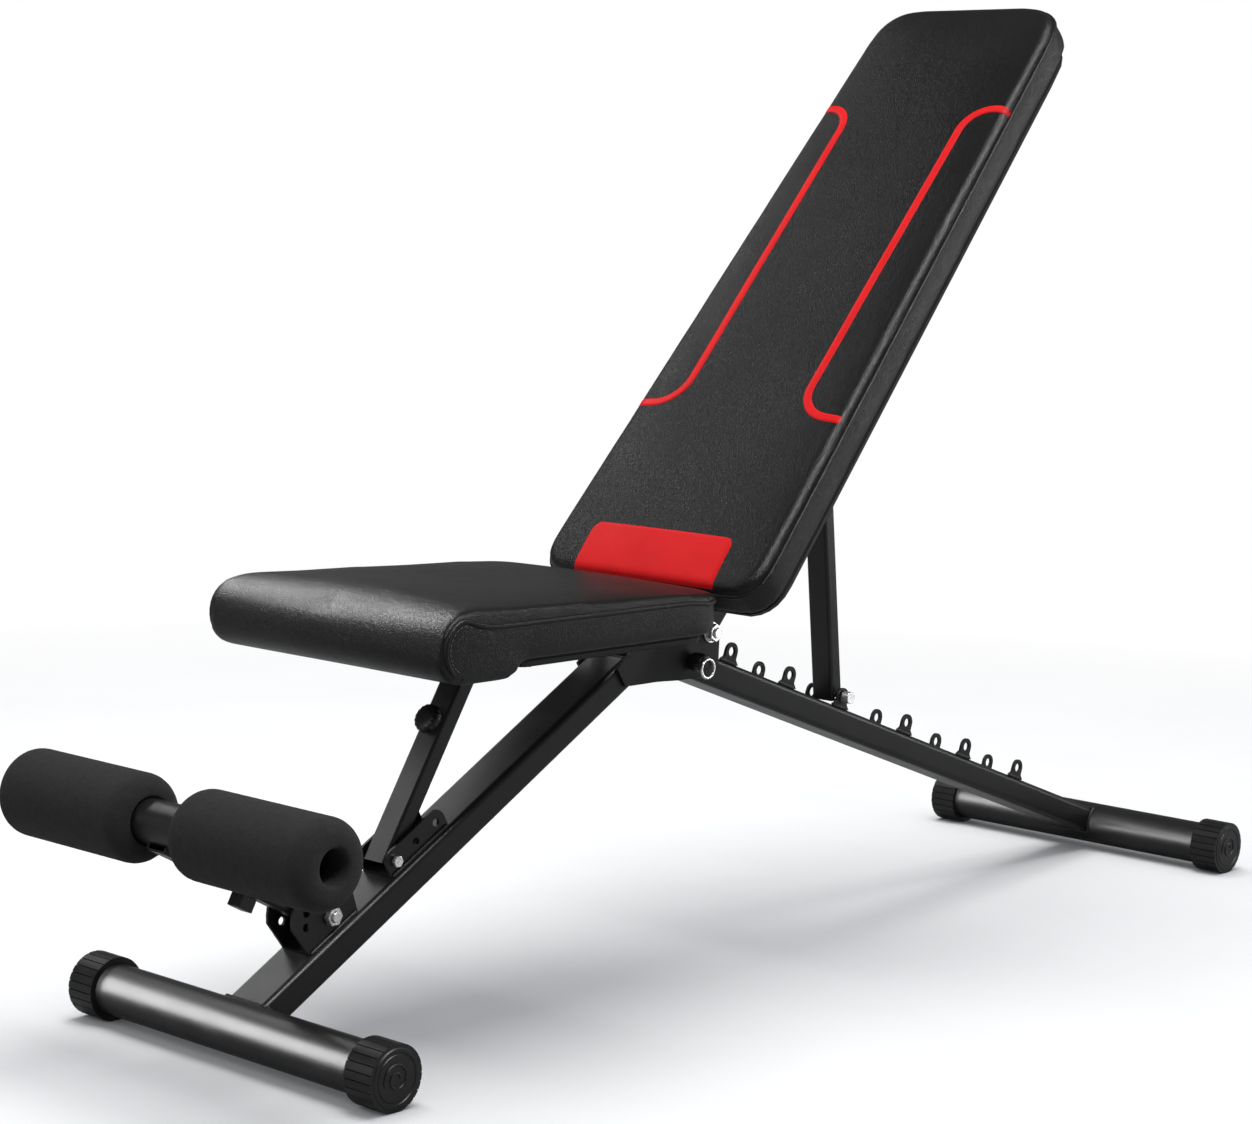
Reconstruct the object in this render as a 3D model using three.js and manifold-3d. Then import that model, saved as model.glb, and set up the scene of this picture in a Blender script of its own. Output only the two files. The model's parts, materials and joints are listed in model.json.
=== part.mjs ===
// Foldable incline bench with a leg-hold roller arm.
// Millimetres, +Z up. While it is drawn, X = 0 is the front foot's axis, +X points to the rear foot,
// Y = 0 is the mid-plane and Z = 0 the floor; the finished group is then centred on its box in X.
import * as THREE from 'three';
import * as BufferGeometryUtils from 'three/addons/utils/BufferGeometryUtils.js';
import Module from 'manifold-3d';

const wasm = await Module();
wasm.setup();

// ---- Driving dimensions -------------------------------------------------------------------------
const GAP = 0.3;               // clearance left between neighbouring pieces
const SHEET = 3;               // thickness of the pressed-steel brackets

const FOOT_WIDTH = 409;        // overall width of each foot, over its caps
const FOOT_DIA = 48;
const CAP_DIA = 60;
const CAP_LENGTH = 33;
const CAP_FLAT = 0.5;          // depth of the flat that each cap rests on
const FOOT_HEIGHT = CAP_DIA / 2 - CAP_FLAT;
const CAP_RIBS = 24;

const TUBE_WIDTH = 50;         // main frame tube, laid flat
const TUBE_DEPTH = 30;
const TUBE_WALL = 2;

const LEG_ANGLE = 29.8;        // front leg above the floor
const LEG_LENGTH = 553;        // from the front foot's axis
const BEAM_ANGLE = 19.6;       // rear beam above the floor
const REAR_FOOT_X = 1340;
const BEAM_LENGTH = 845;       // from the rear foot's axis

const PIVOT = [586, 335];      // main pivot bolt: fold and recline
const FOLD_LOCK = [558, 308];  // fold lock plunger
const PIVOT_BOLT_R = 5;
const PLATE_FLARE = 8;         // the hinge plates stand this much further out beside the beam

const LUG_STATIONS = [755, 652, 554, 429, 307, 195];  // along the beam from the rear foot
const LUG_HOLE_HEIGHT = 12;    // above the beam's top face
const LUG_R = 9.5;
const LUG_HOLE_R = 5;
const LUG_GAUGE = 39;          // between the two ears of a lug pair
const PROP_LUG = 2;            // index of the lug pair that holds the prop

const BACK_ANGLE = 48.6;       // backrest above the floor
const BACK_OFFSET = 46;        // from the pivot to the back of the pad
const BACK_THICK = 42;
const BACK_FROM = -8;          // along the backrest from the pivot
const BACK_TO = 799;
const BACK_HALF_LOW = 149.5;
const BACK_HALF_HIGH = 122;
const BOARD_THICK = 8;

const PROP_LEAN = 7;           // prop strut, from the vertical
const PROP_TOP_OFFSET = 22;    // its top pivot, from the main pivot, square to the backrest
const PROP_WIDTH = 28;
const PROP_DEPTH = 17;
const PROP_FOOT = 4.5;         // strut below its lock hole

const SEAT_HALF = 160;
const SEAT_FRONT = 88;
const SEAT_REAR = 476;
const SEAT_TOP = 411;
const SEAT_UNDER = 360;
const SEAT_ROLL_BOTTOM = 341;
const SEAT_PIVOT = [505, 336];

const STRUT_FOOT = [212, 26.5];  // lower pivot of the seat strut, in the leg's frame
const STRUT_HOLE_PITCH = 29;
const STRUT_ANGLE = 59;
const STRUT_LENGTH = 206;
const STRUT_OUTER = 186;
const STRUT_WIDTH = 28;
const STRUT_DEPTH = 18;
const STRUT_NOTCH = 15;        // between the plunger holes of the inner tube
const SEAT_KNOB_AT = 135;      // along the strut

const ARM_PIVOT = [125, 31.5]; // roller arm pivot, in the leg's frame
const ARM_ANGLE = 152;
const ARM_WIDTH = 25;
const ARM_DEPTH = 28;
const ROLLER_AXIS = [-78, 223];
const CROSS_R = 20;
const CROSS_HALF = 180;
const FOAM_R = 40;
const FOAM_INNER_Y = 31;
const FOAM_OUTER_Y = 206;
const FOAM_MOUTH_R = 15.6;

// ---- Materials ------------------------------------------------------------------------------------
function finish(color, roughness, metalness) {
  return new THREE.MeshStandardMaterial({ color, roughness, metalness });
}
const blackPaint = finish(0x1d1d1f, 0.35, 0.4);
const blackPlastic = finish(0x151515, 0.6, 0);
const blackVinyl = finish(0x141414, 0.45, 0);
const foamGrey = finish(0x2b2b2c, 0.95, 0);
const darkBoard = finish(0x1a1a1a, 0.8, 0);
const zinc = finish(0xc9cbcd, 0.3, 0.9);

// ---- Solids ---------------------------------------------------------------------------------------
const rad = THREE.MathUtils.degToRad;

function toSolid(geometry) {
  const bare = geometry.index ? geometry.toNonIndexed() : geometry.clone();
  bare.deleteAttribute('normal');
  bare.deleteAttribute('uv');
  const welded = BufferGeometryUtils.mergeVertices(bare, 1e-4);
  const vertProperties = new Float32Array(welded.attributes.position.array);
  const triVerts = new Uint32Array(welded.index.array);
  return new wasm.Manifold(new wasm.Mesh({ numProp: 3, vertProperties, triVerts }));
}

function toGeometry(solid) {
  const mesh = solid.getMesh();
  const geometry = new THREE.BufferGeometry();
  geometry.setAttribute('position', new THREE.BufferAttribute(new Float32Array(mesh.vertProperties), 3));
  geometry.setIndex(new THREE.BufferAttribute(new Uint32Array(mesh.triVerts), 1));
  return geometry;
}

// A flat outline in XZ, extruded along Y from y0 to y1.
function plateXZ(shape, y0, y1, curveSegments = 6) {
  const geometry = new THREE.ExtrudeGeometry(shape, { depth: y1 - y0, bevelEnabled: false, curveSegments });
  geometry.rotateX(Math.PI / 2);
  geometry.translate(0, y1, 0);
  return geometry;
}

// A cylinder along Y.
function rod(radius, y0, y1, x = 0, z = 0, sides = 16) {
  const geometry = new THREE.CylinderGeometry(radius, radius, y1 - y0, sides);
  geometry.translate(x, (y0 + y1) / 2, z);
  return geometry;
}

function block(x0, x1, y0, y1, z0, z1) {
  const geometry = new THREE.BoxGeometry(x1 - x0, y1 - y0, z1 - z0);
  geometry.translate((x0 + x1) / 2, (y0 + y1) / 2, (z0 + z1) / 2);
  return geometry;
}

function roundedRect(halfU, halfV, radius) {
  const shape = new THREE.Shape();
  shape.moveTo(-halfU + radius, -halfV);
  shape.lineTo(halfU - radius, -halfV);
  shape.absarc(halfU - radius, -halfV + radius, radius, -Math.PI / 2, 0);
  shape.absarc(halfU - radius, halfV - radius, radius, 0, Math.PI / 2);
  shape.absarc(-halfU + radius, halfV - radius, radius, Math.PI / 2, Math.PI);
  shape.absarc(-halfU + radius, -halfV + radius, radius, Math.PI, 1.5 * Math.PI);
  return shape;
}

// A rounded rectangular tube along X from x0 to x1: width in Y, depth in Z.
function boxTube(width, depth, wall, radius, x0, x1) {
  const make = (w, d, r, a, b) => {
    const options = { depth: b - a, bevelEnabled: false, curveSegments: 3 };
    const geometry = new THREE.ExtrudeGeometry(roundedRect(w / 2, d / 2, r), options);
    geometry.rotateX(Math.PI / 2);
    geometry.rotateZ(Math.PI / 2);
    geometry.translate(a, 0, 0);
    return toSolid(geometry);
  };
  const inner = make(width - 2 * wall, depth - 2 * wall, Math.max(radius - wall, 1), x0 - 1, x1 + 1);
  return make(width, depth, radius, x0, x1).subtract(inner);
}

function mesh(name, shape, material) {
  const geometry = shape.isBufferGeometry ? shape : toGeometry(shape);
  const part = new THREE.Mesh(geometry, material);
  part.name = name;
  return part;
}

const cut = (shape, ...tools) => tools.reduce((left, tool) => left.subtract(toSolid(tool)), toSolid(shape));

// Groups whose X axis runs up a sloping member.
function slopedGroup(x, z, degrees) {
  const group = new THREE.Group();
  group.position.set(x, 0, z);
  group.rotation.y = -rad(degrees);
  return group;
}

const bench = new THREE.Group();
const leg = slopedGroup(0, FOOT_HEIGHT, LEG_ANGLE);
const beam = slopedGroup(REAR_FOOT_X, FOOT_HEIGHT, 180 - BEAM_ANGLE);
const back = slopedGroup(PIVOT[0], PIVOT[1], BACK_ANGLE);
bench.add(leg, beam, back);

// A point of the leg's frame, in the bench's frame.
function fromLeg([along, up]) {
  const c = Math.cos(rad(LEG_ANGLE));
  const s = Math.sin(rad(LEG_ANGLE));
  return [along * c - up * s, FOOT_HEIGHT + along * s + up * c];
}

// ---- Feet -----------------------------------------------------------------------------------------
function ribbedOutline(radius) {
  const shape = new THREE.Shape();
  const grooveDepth = 1.4;
  const step = (2 * Math.PI) / CAP_RIBS;
  const stops = [[0.06, radius], [0.36, radius], [0.64, radius], [0.94, radius], [1, radius - grooveDepth]];
  shape.moveTo(radius - grooveDepth, 0);
  for (let rib = 0; rib < CAP_RIBS; rib += 1) {
    for (const [part, r] of stops) {
      const angle = (rib + part) * step;
      if (rib < CAP_RIBS - 1 || part < 1) shape.lineTo(r * Math.cos(angle), r * Math.sin(angle));
    }
  }
  return shape;
}

function addFoot(prefix, x) {
  const half = FOOT_WIDTH / 2;
  const capFloor = 4;
  const shell = toSolid(rod(FOOT_DIA / 2, -half + capFloor + GAP, half - capFloor - GAP, 0, 0, 32));
  const tube = shell.subtract(toSolid(rod(FOOT_DIA / 2 - TUBE_WALL, -half, half, 0, 0, 32)));
  const tubeMesh = mesh(`${prefix}_foot_tube`, tube, blackPaint);
  tubeMesh.position.set(x, 0, FOOT_HEIGHT);
  bench.add(tubeMesh);
  for (const [end, side] of [['near', -1], ['far', 1]]) {
    const ribbed = plateXZ(ribbedOutline(CAP_DIA / 2), 0, CAP_LENGTH);
    const socket = rod(FOOT_DIA / 2 + GAP, -1, CAP_LENGTH - capFloor, 0, 0, 32);
    const below = block(-CAP_DIA, CAP_DIA, -1, CAP_LENGTH + 1, -CAP_DIA, -FOOT_HEIGHT);
    const cap = mesh(`${prefix}_foot_cap_${end}`, cut(ribbed, socket, below), blackPlastic);
    cap.position.set(x, side * (half - CAP_LENGTH), FOOT_HEIGHT);
    if (side < 0) cap.rotation.z = Math.PI;
    bench.add(cap);
  }
}
addFoot('front', 0);
addFoot('rear', REAR_FOOT_X);

// ---- Front leg and its brackets ---------------------------------------------------------------------
const footSaddle = toSolid(rod(FOOT_DIA / 2 + GAP, -TUBE_WIDTH, TUBE_WIDTH, 0, 0, 32));
const legTube = boxTube(TUBE_WIDTH, TUBE_DEPTH, TUBE_WALL, 6, 6, LEG_LENGTH).subtract(footSaddle);
leg.add(mesh('front_leg', legTube, blackPaint));

function endPlug(name, at, face) {
  const flange = 3;
  const stem = 14;
  const slack = TUBE_WALL + GAP;
  const cap = roundedRect(TUBE_WIDTH / 2, TUBE_DEPTH / 2, 6);
  const core = roundedRect(TUBE_WIDTH / 2 - slack, TUBE_DEPTH / 2 - slack, 4);
  const solidOf = (shape, z0, z1) => {
    const options = { depth: z1 - z0, bevelEnabled: false, curveSegments: 3 };
    const geometry = new THREE.ExtrudeGeometry(shape, options);
    geometry.translate(0, 0, z0);
    geometry.rotateX(Math.PI / 2);
    geometry.rotateZ(face > 0 ? Math.PI / 2 : -Math.PI / 2);
    geometry.translate(at, 0, 0);
    return toSolid(geometry);
  };
  return mesh(name, solidOf(cap, GAP, GAP + flange).add(solidOf(core, -stem, GAP + 1)), blackPlastic);
}
leg.add(endPlug('leg_top_plug', LEG_LENGTH, 1));

// The plate that joins leg and beam: flat against the leg, then flared out beside the beam.
function hingePlate(side) {
  const inner = TUBE_WIDTH / 2 + GAP;
  const outer = inner + PLATE_FLARE;
  const line = [[440, inner], [516, inner], [541, outer], [620, outer]];
  const strip = new THREE.Shape(line.map(([x, y]) => new THREE.Vector2(x, y)));
  for (const [x, y] of [...line].reverse()) strip.lineTo(x, y + SHEET);
  const wall = new THREE.ExtrudeGeometry(strip, { depth: 90, bevelEnabled: false });
  wall.translate(0, 0, -45);
  if (side < 0) wall.rotateX(Math.PI);
  wall.translate(0, 0, PIVOT[1]);
  const outline = new THREE.Shape();
  outline.moveTo(473, 285);
  outline.lineTo(586, 288);
  outline.absarc(586, 304, 14, -Math.PI / 2.6, 0);
  outline.absarc(PIVOT[0], PIVOT[1], 15, -0.2, Math.PI * 0.62);
  outline.lineTo(556, 341);
  outline.lineTo(497, 346);
  outline.lineTo(480, 328);
  outline.lineTo(457, 308);
  const holes = [
    rod(PIVOT_BOLT_R + 0.5, -60, 60, PIVOT[0], PIVOT[1]),
    rod(4.4, -60, 60, FOLD_LOCK[0], FOLD_LOCK[1]),
    rod(4.4, -60, 60, SEAT_PIVOT[0], SEAT_PIVOT[1]),
  ];
  const plate = toSolid(wall).intersect(toSolid(plateXZ(outline, -60, 60, 8)));
  return holes.reduce((left, hole) => left.subtract(toSolid(hole)), plate);
}
bench.add(mesh('hinge_plate_near', hingePlate(-1), blackPaint));
bench.add(mesh('hinge_plate_far', hingePlate(1), blackPaint));

// Hexagonal bolt heads and nuts on a shank along Y.
function boltMesh(name, [x, z], radius, y0, y1, headSide, headFlat) {
  const headHeight = radius * 1.2;
  const head = headSide < 0
    ? rod(headFlat, y0 - headHeight, y0, x, z, 6)
    : rod(headFlat, y1, y1 + headHeight, x, z, 6);
  const shank = rod(radius, headSide < 0 ? y0 - 0.5 : y0, headSide < 0 ? y1 : y1 + 0.5, x, z);
  return mesh(name, toSolid(shank).add(toSolid(head)), zinc);
}

function ringMesh(name, [x, z], outer, inner, y0, y1, material, sides = 16) {
  return mesh(name, cut(rod(outer, y0, y1, x, z, sides), rod(inner, y0 - 1, y1 + 1, x, z)), material);
}

const PLATE_OUT = TUBE_WIDTH / 2 + GAP + PLATE_FLARE + SHEET;
const pivotBore = PIVOT_BOLT_R + GAP;
bench.add(ringMesh('pivot_washer', PIVOT, 11, pivotBore, -PLATE_OUT - 2.2, -PLATE_OUT - GAP, zinc, 20));
bench.add(ringMesh('pivot_nut', PIVOT, 9.5, pivotBore, -PLATE_OUT - 8.5, -PLATE_OUT - 2.5, zinc, 6));
bench.add(boltMesh('pivot_bolt', PIVOT, PIVOT_BOLT_R, -PLATE_OUT - 11, PLATE_OUT + GAP, 1, 9.5));
bench.add(boltMesh('seat_pivot_bolt', SEAT_PIVOT, 4, -32.8, 38, -1, 7));

// U-shaped brackets that stand on a sloping tube: an ear outline in the member's frame, and a base.
function uBracket(outline, halfOuter, [from, to, low, high], holes) {
  const ears = [-1, 1].map((side) => {
    const y0 = side < 0 ? -halfOuter : halfOuter - SHEET;
    return toSolid(plateXZ(outline, y0, y0 + SHEET));
  });
  const base = toSolid(block(from, to, -halfOuter, halfOuter, low, high));
  let bracket = base.add(ears[0]).add(ears[1]);
  for (const [x, z, r] of holes) {
    bracket = bracket.subtract(toSolid(rod(r, -halfOuter - 1, halfOuter + 1, x, z, 14)));
  }
  return bracket;
}

const LEG_TOP = TUBE_DEPTH / 2 + GAP;
const armEar = new THREE.Shape();
const armEarRadius = 46;
armEar.moveTo(87, LEG_TOP);
armEar.lineTo(153, LEG_TOP);
armEar.absarc(ARM_PIVOT[0], ARM_PIVOT[1], armEarRadius, rad(38), rad(158), false);
const lockCircle = 30;
const armHoles = [87, 112, 137, 162].map((degrees) => {
  const angle = rad(degrees);
  return [ARM_PIVOT[0] + lockCircle * Math.cos(angle), ARM_PIVOT[1] + lockCircle * Math.sin(angle), 4];
});
const ARM_EAR_OUT = 18;
const armBase = [87, 153, LEG_TOP, LEG_TOP + SHEET];
const armBracket = uBracket(armEar, ARM_EAR_OUT, armBase, [...armHoles, [...ARM_PIVOT, 5.4]]);
leg.add(mesh('roller_bracket', armBracket, blackPaint));
leg.add(ringMesh('roller_pivot_nut', ARM_PIVOT, 9, 5 + GAP, -24.5, -18.3, zinc, 6));
leg.add(boltMesh('roller_pivot_bolt', ARM_PIVOT, 5, -27, 18.3, 1, 9));

function stadium(x0, x1, base, centre, radius) {
  const shape = new THREE.Shape();
  shape.moveTo(x0 - radius, base);
  shape.lineTo(x1 + radius, base);
  shape.absarc(x1, centre, radius, 0, Math.PI / 2);
  shape.absarc(x0, centre, radius, Math.PI / 2, Math.PI);
  return shape;
}

const strutHoles = [0, 1, 2].map((i) => [STRUT_FOOT[0] + i * STRUT_HOLE_PITCH, STRUT_FOOT[1], 4]);
const strutEar = stadium(STRUT_FOOT[0], strutHoles[2][0], LEG_TOP, STRUT_FOOT[1], 12);
const strutBase = [200, 282, LEG_TOP, LEG_TOP + SHEET];
leg.add(mesh('seat_strut_bracket', uBracket(strutEar, 19, strutBase, strutHoles), blackPaint));
leg.add(boltMesh('seat_strut_bolt', STRUT_FOOT, 3.6, -19.3, 22, -1, 6));

// ---- Rear beam, its pivot ears and lugs -------------------------------------------------------------
const beamTube = boxTube(TUBE_WIDTH, TUBE_DEPTH, TUBE_WALL, 6, 6, BEAM_LENGTH);

// A point of the bench's frame, in the beam's frame (X up the beam, Z square to it).
function toBeam([x, z]) {
  const c = Math.cos(rad(BEAM_ANGLE));
  const s = Math.sin(rad(BEAM_ANGLE));
  const dx = REAR_FOOT_X - x;
  const dz = z - FOOT_HEIGHT;
  return [dx * c + dz * s, -dx * s + dz * c];
}
// The beam group's own Z points downwards, because the group is turned past the vertical.
const lockOnBeam = toBeam(FOLD_LOCK);
const pivotOnBeam = toBeam(PIVOT);
const lockBore = rod(4.6, -TUBE_WIDTH, TUBE_WIDTH, lockOnBeam[0], -lockOnBeam[1]);
beam.add(mesh('rear_beam', beamTube.subtract(footSaddle).subtract(toSolid(lockBore)), blackPaint));
beam.add(endPlug('beam_front_plug', BEAM_LENGTH, 1));

function beamEar(side) {
  const inner = TUBE_WIDTH / 2 + GAP;
  const [px, pz] = pivotOnBeam;
  const shape = new THREE.Shape();
  shape.moveTo(px + 22, 12);
  shape.lineTo(px + 13, -pz);
  shape.absarc(px, -pz, 13, 0, Math.PI, true);
  shape.lineTo(px - 26, 12);
  const y0 = side < 0 ? -inner - SHEET : inner;
  const blank = plateXZ(shape, y0, y0 + SHEET, 8);
  return cut(blank, rod(PIVOT_BOLT_R + 0.5, -40, 40, px, -pz), lockBore);
}
beam.add(mesh('beam_ear_near', beamEar(-1), blackPaint));
beam.add(mesh('beam_ear_far', beamEar(1), blackPaint));
beam.add(ringMesh('pivot_spacer', [pivotOnBeam[0], -pivotOnBeam[1]], 8.5, 5.5, -25, 25, zinc));

// Lugs: round-topped ears welded in pairs to the beam's top face.
const lugFoot = 15;            // half the length welded to the beam
function lugEar(name, station, side) {
  const base = -LEG_TOP;
  const centre = -(TUBE_DEPTH / 2 + LUG_HOLE_HEIGHT);
  const shape = new THREE.Shape();
  shape.moveTo(station - lugFoot, base);
  shape.lineTo(station + lugFoot, base);
  shape.lineTo(station + LUG_R, base - 5);
  shape.absarc(station, centre, LUG_R, 0, Math.PI, true);
  shape.lineTo(station - LUG_R, base - 5);
  const y0 = side < 0 ? -LUG_GAUGE / 2 - SHEET : LUG_GAUGE / 2;
  const hole = rod(LUG_HOLE_R, -30, 30, station, centre);
  return mesh(name, cut(plateXZ(shape, y0, y0 + SHEET), hole), blackPaint);
}
LUG_STATIONS.forEach((station, index) => {
  beam.add(lugEar(`lug_${index + 1}_near`, station, -1));
  beam.add(lugEar(`lug_${index + 1}_far`, station, 1));
});

// ---- Lock pin of the prop, and the fold lock ---------------------------------------------------------
// The pins stop just short of the moving piece that they lock, so each joint is free to turn.
const pinHole = [LUG_STATIONS[PROP_LUG], -(TUBE_DEPTH / 2 + LUG_HOLE_HEIGHT)];
const pinShank = toSolid(rod(4, -30, -PROP_WIDTH / 2 - 0.7, pinHole[0], pinHole[1]));
const pinHead = toSolid(rod(6.5, -33, -24, pinHole[0], pinHole[1]));
beam.add(mesh('prop_lock_pin', pinShank.add(pinHead), zinc));

// A pull knob along +Z: a plunger of the given stem, a threaded collar and the grip.
function pullKnob(name, stem, gripR, gripLength) {
  const collar = stem + 2.4;
  const end = collar + gripLength;
  const profile = [
    [0, 0], [3.6, 0], [3.6, stem], [6.4, stem], [6.4, collar], [gripR - 2, collar],
    [gripR, collar + 3], [gripR, end - 3], [gripR - 2.5, end], [0, end],
  ];
  const points = profile.map(([r, h]) => new THREE.Vector2(r, h));
  return mesh(name, new THREE.LatheGeometry(points, 20).rotateX(Math.PI / 2), blackPlastic);
}
const foldKnob = pullKnob('fold_knob', PLATE_OUT - TUBE_WIDTH / 2 - SHEET - GAP, 9, 17);
foldKnob.position.set(FOLD_LOCK[0], -TUBE_WIDTH / 2 - SHEET - 2 * GAP, FOLD_LOCK[1]);
foldKnob.rotation.x = Math.PI / 2;
const pullRing = mesh('fold_pull_ring', new THREE.TorusGeometry(9.5, 1.5, 8, 24), zinc);
pullRing.rotation.x = Math.PI / 2;
pullRing.position.set(FOLD_LOCK[0], -PLATE_OUT - 22, FOLD_LOCK[1] - 5);
bench.add(foldKnob, pullRing);

// ---- Backrest: pad, board and brackets, drawn in the backrest's frame -------------------------------
function backOutline(inset) {
  const low = BACK_HALF_LOW - inset;
  const high = BACK_HALF_HIGH - inset;
  const from = BACK_FROM + inset;
  const to = BACK_TO - inset;
  const lowR = 42;
  const highR = 52;
  const taper = (low - high) / (to - from);
  const shape = new THREE.Shape();
  shape.moveTo(from, -low + lowR);
  shape.quadraticCurveTo(from, -low, from + lowR, -low + taper * lowR);
  shape.lineTo(to - highR, -high - taper * highR);
  shape.quadraticCurveTo(to, -high, to, -high + highR);
  shape.lineTo(to, high - highR);
  shape.quadraticCurveTo(to, high, to - highR, high + taper * highR);
  shape.lineTo(from + lowR, low - taper * lowR);
  shape.quadraticCurveTo(from, low, from, low - lowR);
  return shape;
}

function slab(outline, z0, z1, bevel) {
  const geometry = new THREE.ExtrudeGeometry(outline, {
    depth: z1 - z0 - 2 * bevel,
    bevelEnabled: bevel > 0,
    bevelThickness: bevel,
    bevelSize: bevel,
    bevelOffset: -bevel,
    bevelSegments: 3,
    curveSegments: 6,
  });
  geometry.translate(0, 0, z0 + bevel);
  return geometry;
}
const boardTop = BACK_OFFSET - GAP;
const padTop = BACK_OFFSET + BACK_THICK + 4;
back.add(mesh('backrest_cushion', slab(backOutline(0), BACK_OFFSET, padTop, 9), blackVinyl));
back.add(mesh('backrest_board', slab(backOutline(10), boardTop - BOARD_THICK, boardTop, 0), darkBoard));

const bracketTop = boardTop - BOARD_THICK - GAP;
const bracketBase = bracketTop - SHEET;
const EAR_OUT = TUBE_WIDTH / 2 + GAP + SHEET + 0.7 + SHEET;

const lowEar = new THREE.Shape();
lowEar.moveTo(0, -12);
lowEar.absarc(0, 0, 12, -Math.PI / 2, Math.PI, true);
lowEar.lineTo(-12, bracketTop);
lowEar.lineTo(190, bracketTop);
lowEar.lineTo(190, bracketTop - 14);
lowEar.lineTo(60, -12);
const lowBase = [-12, 190, bracketBase, bracketTop];
const lowBracket = uBracket(lowEar, EAR_OUT, lowBase, [[0, 0, PIVOT_BOLT_R + 0.5]]);
back.add(mesh('backrest_pivot_bracket', lowBracket, blackPaint));

// The prop's top pivot: where the leaning strut meets a line parallel to the backrest.
const lugHeight = TUBE_DEPTH / 2 + LUG_HOLE_HEIGHT;
const beamC = Math.cos(rad(BEAM_ANGLE));
const beamS = Math.sin(rad(BEAM_ANGLE));
const propFoot = [
  REAR_FOOT_X - LUG_STATIONS[PROP_LUG] * beamC + lugHeight * beamS,
  FOOT_HEIGHT + LUG_STATIONS[PROP_LUG] * beamS + lugHeight * beamC,
];
const backC = Math.cos(rad(BACK_ANGLE));
const backS = Math.sin(rad(BACK_ANGLE));
const squareOff = (dx, dz) => -backS * dx + backC * dz;
const leanX = -Math.sin(rad(PROP_LEAN));
const leanZ = Math.cos(rad(PROP_LEAN));
const footOff = squareOff(propFoot[0] - PIVOT[0], propFoot[1] - PIVOT[1]);
const PROP_LENGTH = (PROP_TOP_OFFSET - footOff) / squareOff(leanX, leanZ);
const propTop = [propFoot[0] + PROP_LENGTH * leanX, propFoot[1] + PROP_LENGTH * leanZ];
const propAlong = backC * (propTop[0] - PIVOT[0]) + backS * (propTop[1] - PIVOT[1]);

const highEar = new THREE.Shape();
highEar.moveTo(propAlong - 24, bracketTop);
highEar.lineTo(propAlong - 11, PROP_TOP_OFFSET);
highEar.absarc(propAlong, PROP_TOP_OFFSET, 11, Math.PI, 2 * Math.PI, false);
highEar.lineTo(propAlong + 24, bracketTop);
const propEarOut = PROP_WIDTH / 2 + 1 + SHEET;
const highBase = [propAlong - 40, propAlong + 40, bracketBase, bracketTop];
const highBracket = uBracket(highEar, propEarOut, highBase, [[propAlong, PROP_TOP_OFFSET, 4.3]]);
back.add(mesh('prop_top_bracket', highBracket, blackPaint));
back.add(boltMesh('prop_top_bolt', [propAlong, PROP_TOP_OFFSET], 4, -propEarOut - GAP, propEarOut + 6, -1, 7));

// ---- Prop strut, in its own frame with X down the strut ---------------------------------------------
const prop = slopedGroup(propTop[0], propTop[1], PROP_LEAN - 90);
const propTube = boxTube(PROP_WIDTH, PROP_DEPTH, 1.6, 3, -8, PROP_LENGTH + PROP_FOOT);
const topBore = toSolid(rod(4.6, -30, 30, 0, 0));
const footBore = toSolid(rod(4.3, -30, 30, PROP_LENGTH, 0));
prop.add(mesh('prop_strut', propTube.subtract(topBore).subtract(footBore), blackPaint));
bench.add(prop);

// ---- Seat -----------------------------------------------------------------------------------------
function seatProfile() {
  const shape = new THREE.Shape();
  const rollR = 30;
  shape.moveTo(SEAT_FRONT, SEAT_ROLL_BOTTOM + rollR);
  shape.absarc(SEAT_FRONT + rollR, SEAT_ROLL_BOTTOM + rollR, rollR, Math.PI, 1.5 * Math.PI, false);
  shape.lineTo(168, SEAT_ROLL_BOTTOM);
  shape.quadraticCurveTo(186, SEAT_ROLL_BOTTOM, 190, SEAT_UNDER);
  shape.lineTo(SEAT_REAR, SEAT_UNDER);
  shape.lineTo(SEAT_REAR, 388);
  shape.quadraticCurveTo(SEAT_REAR, 400, SEAT_REAR - 14, 401);
  shape.lineTo(SEAT_FRONT + 44, SEAT_TOP + 2);
  shape.quadraticCurveTo(SEAT_FRONT + 4, SEAT_TOP + 2, SEAT_FRONT, SEAT_TOP - 30);
  return shape;
}
const seatPlan = new THREE.Shape();
seatPlan.moveTo(SEAT_FRONT - 1, -SEAT_HALF);
seatPlan.lineTo(SEAT_REAR - 45, -SEAT_HALF);
seatPlan.quadraticCurveTo(SEAT_REAR, -SEAT_HALF, SEAT_REAR + 0.5, -SEAT_HALF + 45);
seatPlan.lineTo(SEAT_REAR + 0.5, SEAT_HALF - 45);
seatPlan.quadraticCurveTo(SEAT_REAR, SEAT_HALF, SEAT_REAR - 45, SEAT_HALF);
seatPlan.lineTo(SEAT_FRONT - 1, SEAT_HALF);
const seatWall = new THREE.ExtrudeGeometry(seatPlan, { depth: 200, bevelEnabled: false, curveSegments: 6 });
seatWall.translate(0, 0, SEAT_ROLL_BOTTOM - 60);
const seatBlock = toSolid(plateXZ(seatProfile(), -SEAT_HALF - 5, SEAT_HALF + 5));
bench.add(mesh('seat_cushion', seatBlock.intersect(toSolid(seatWall)), blackVinyl));

const seatBoardTop = SEAT_UNDER - GAP;
const seatBoardLow = seatBoardTop - 9;
const seatBoardShape = new THREE.Shape();
seatBoardShape.moveTo(204, -142);
seatBoardShape.lineTo(430, -142);
seatBoardShape.quadraticCurveTo(464, -142, 464, -108);
seatBoardShape.lineTo(464, 108);
seatBoardShape.quadraticCurveTo(464, 142, 430, 142);
seatBoardShape.lineTo(204, 142);
bench.add(mesh('seat_board', slab(seatBoardShape, seatBoardLow, seatBoardTop, 0), darkBoard));

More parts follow.
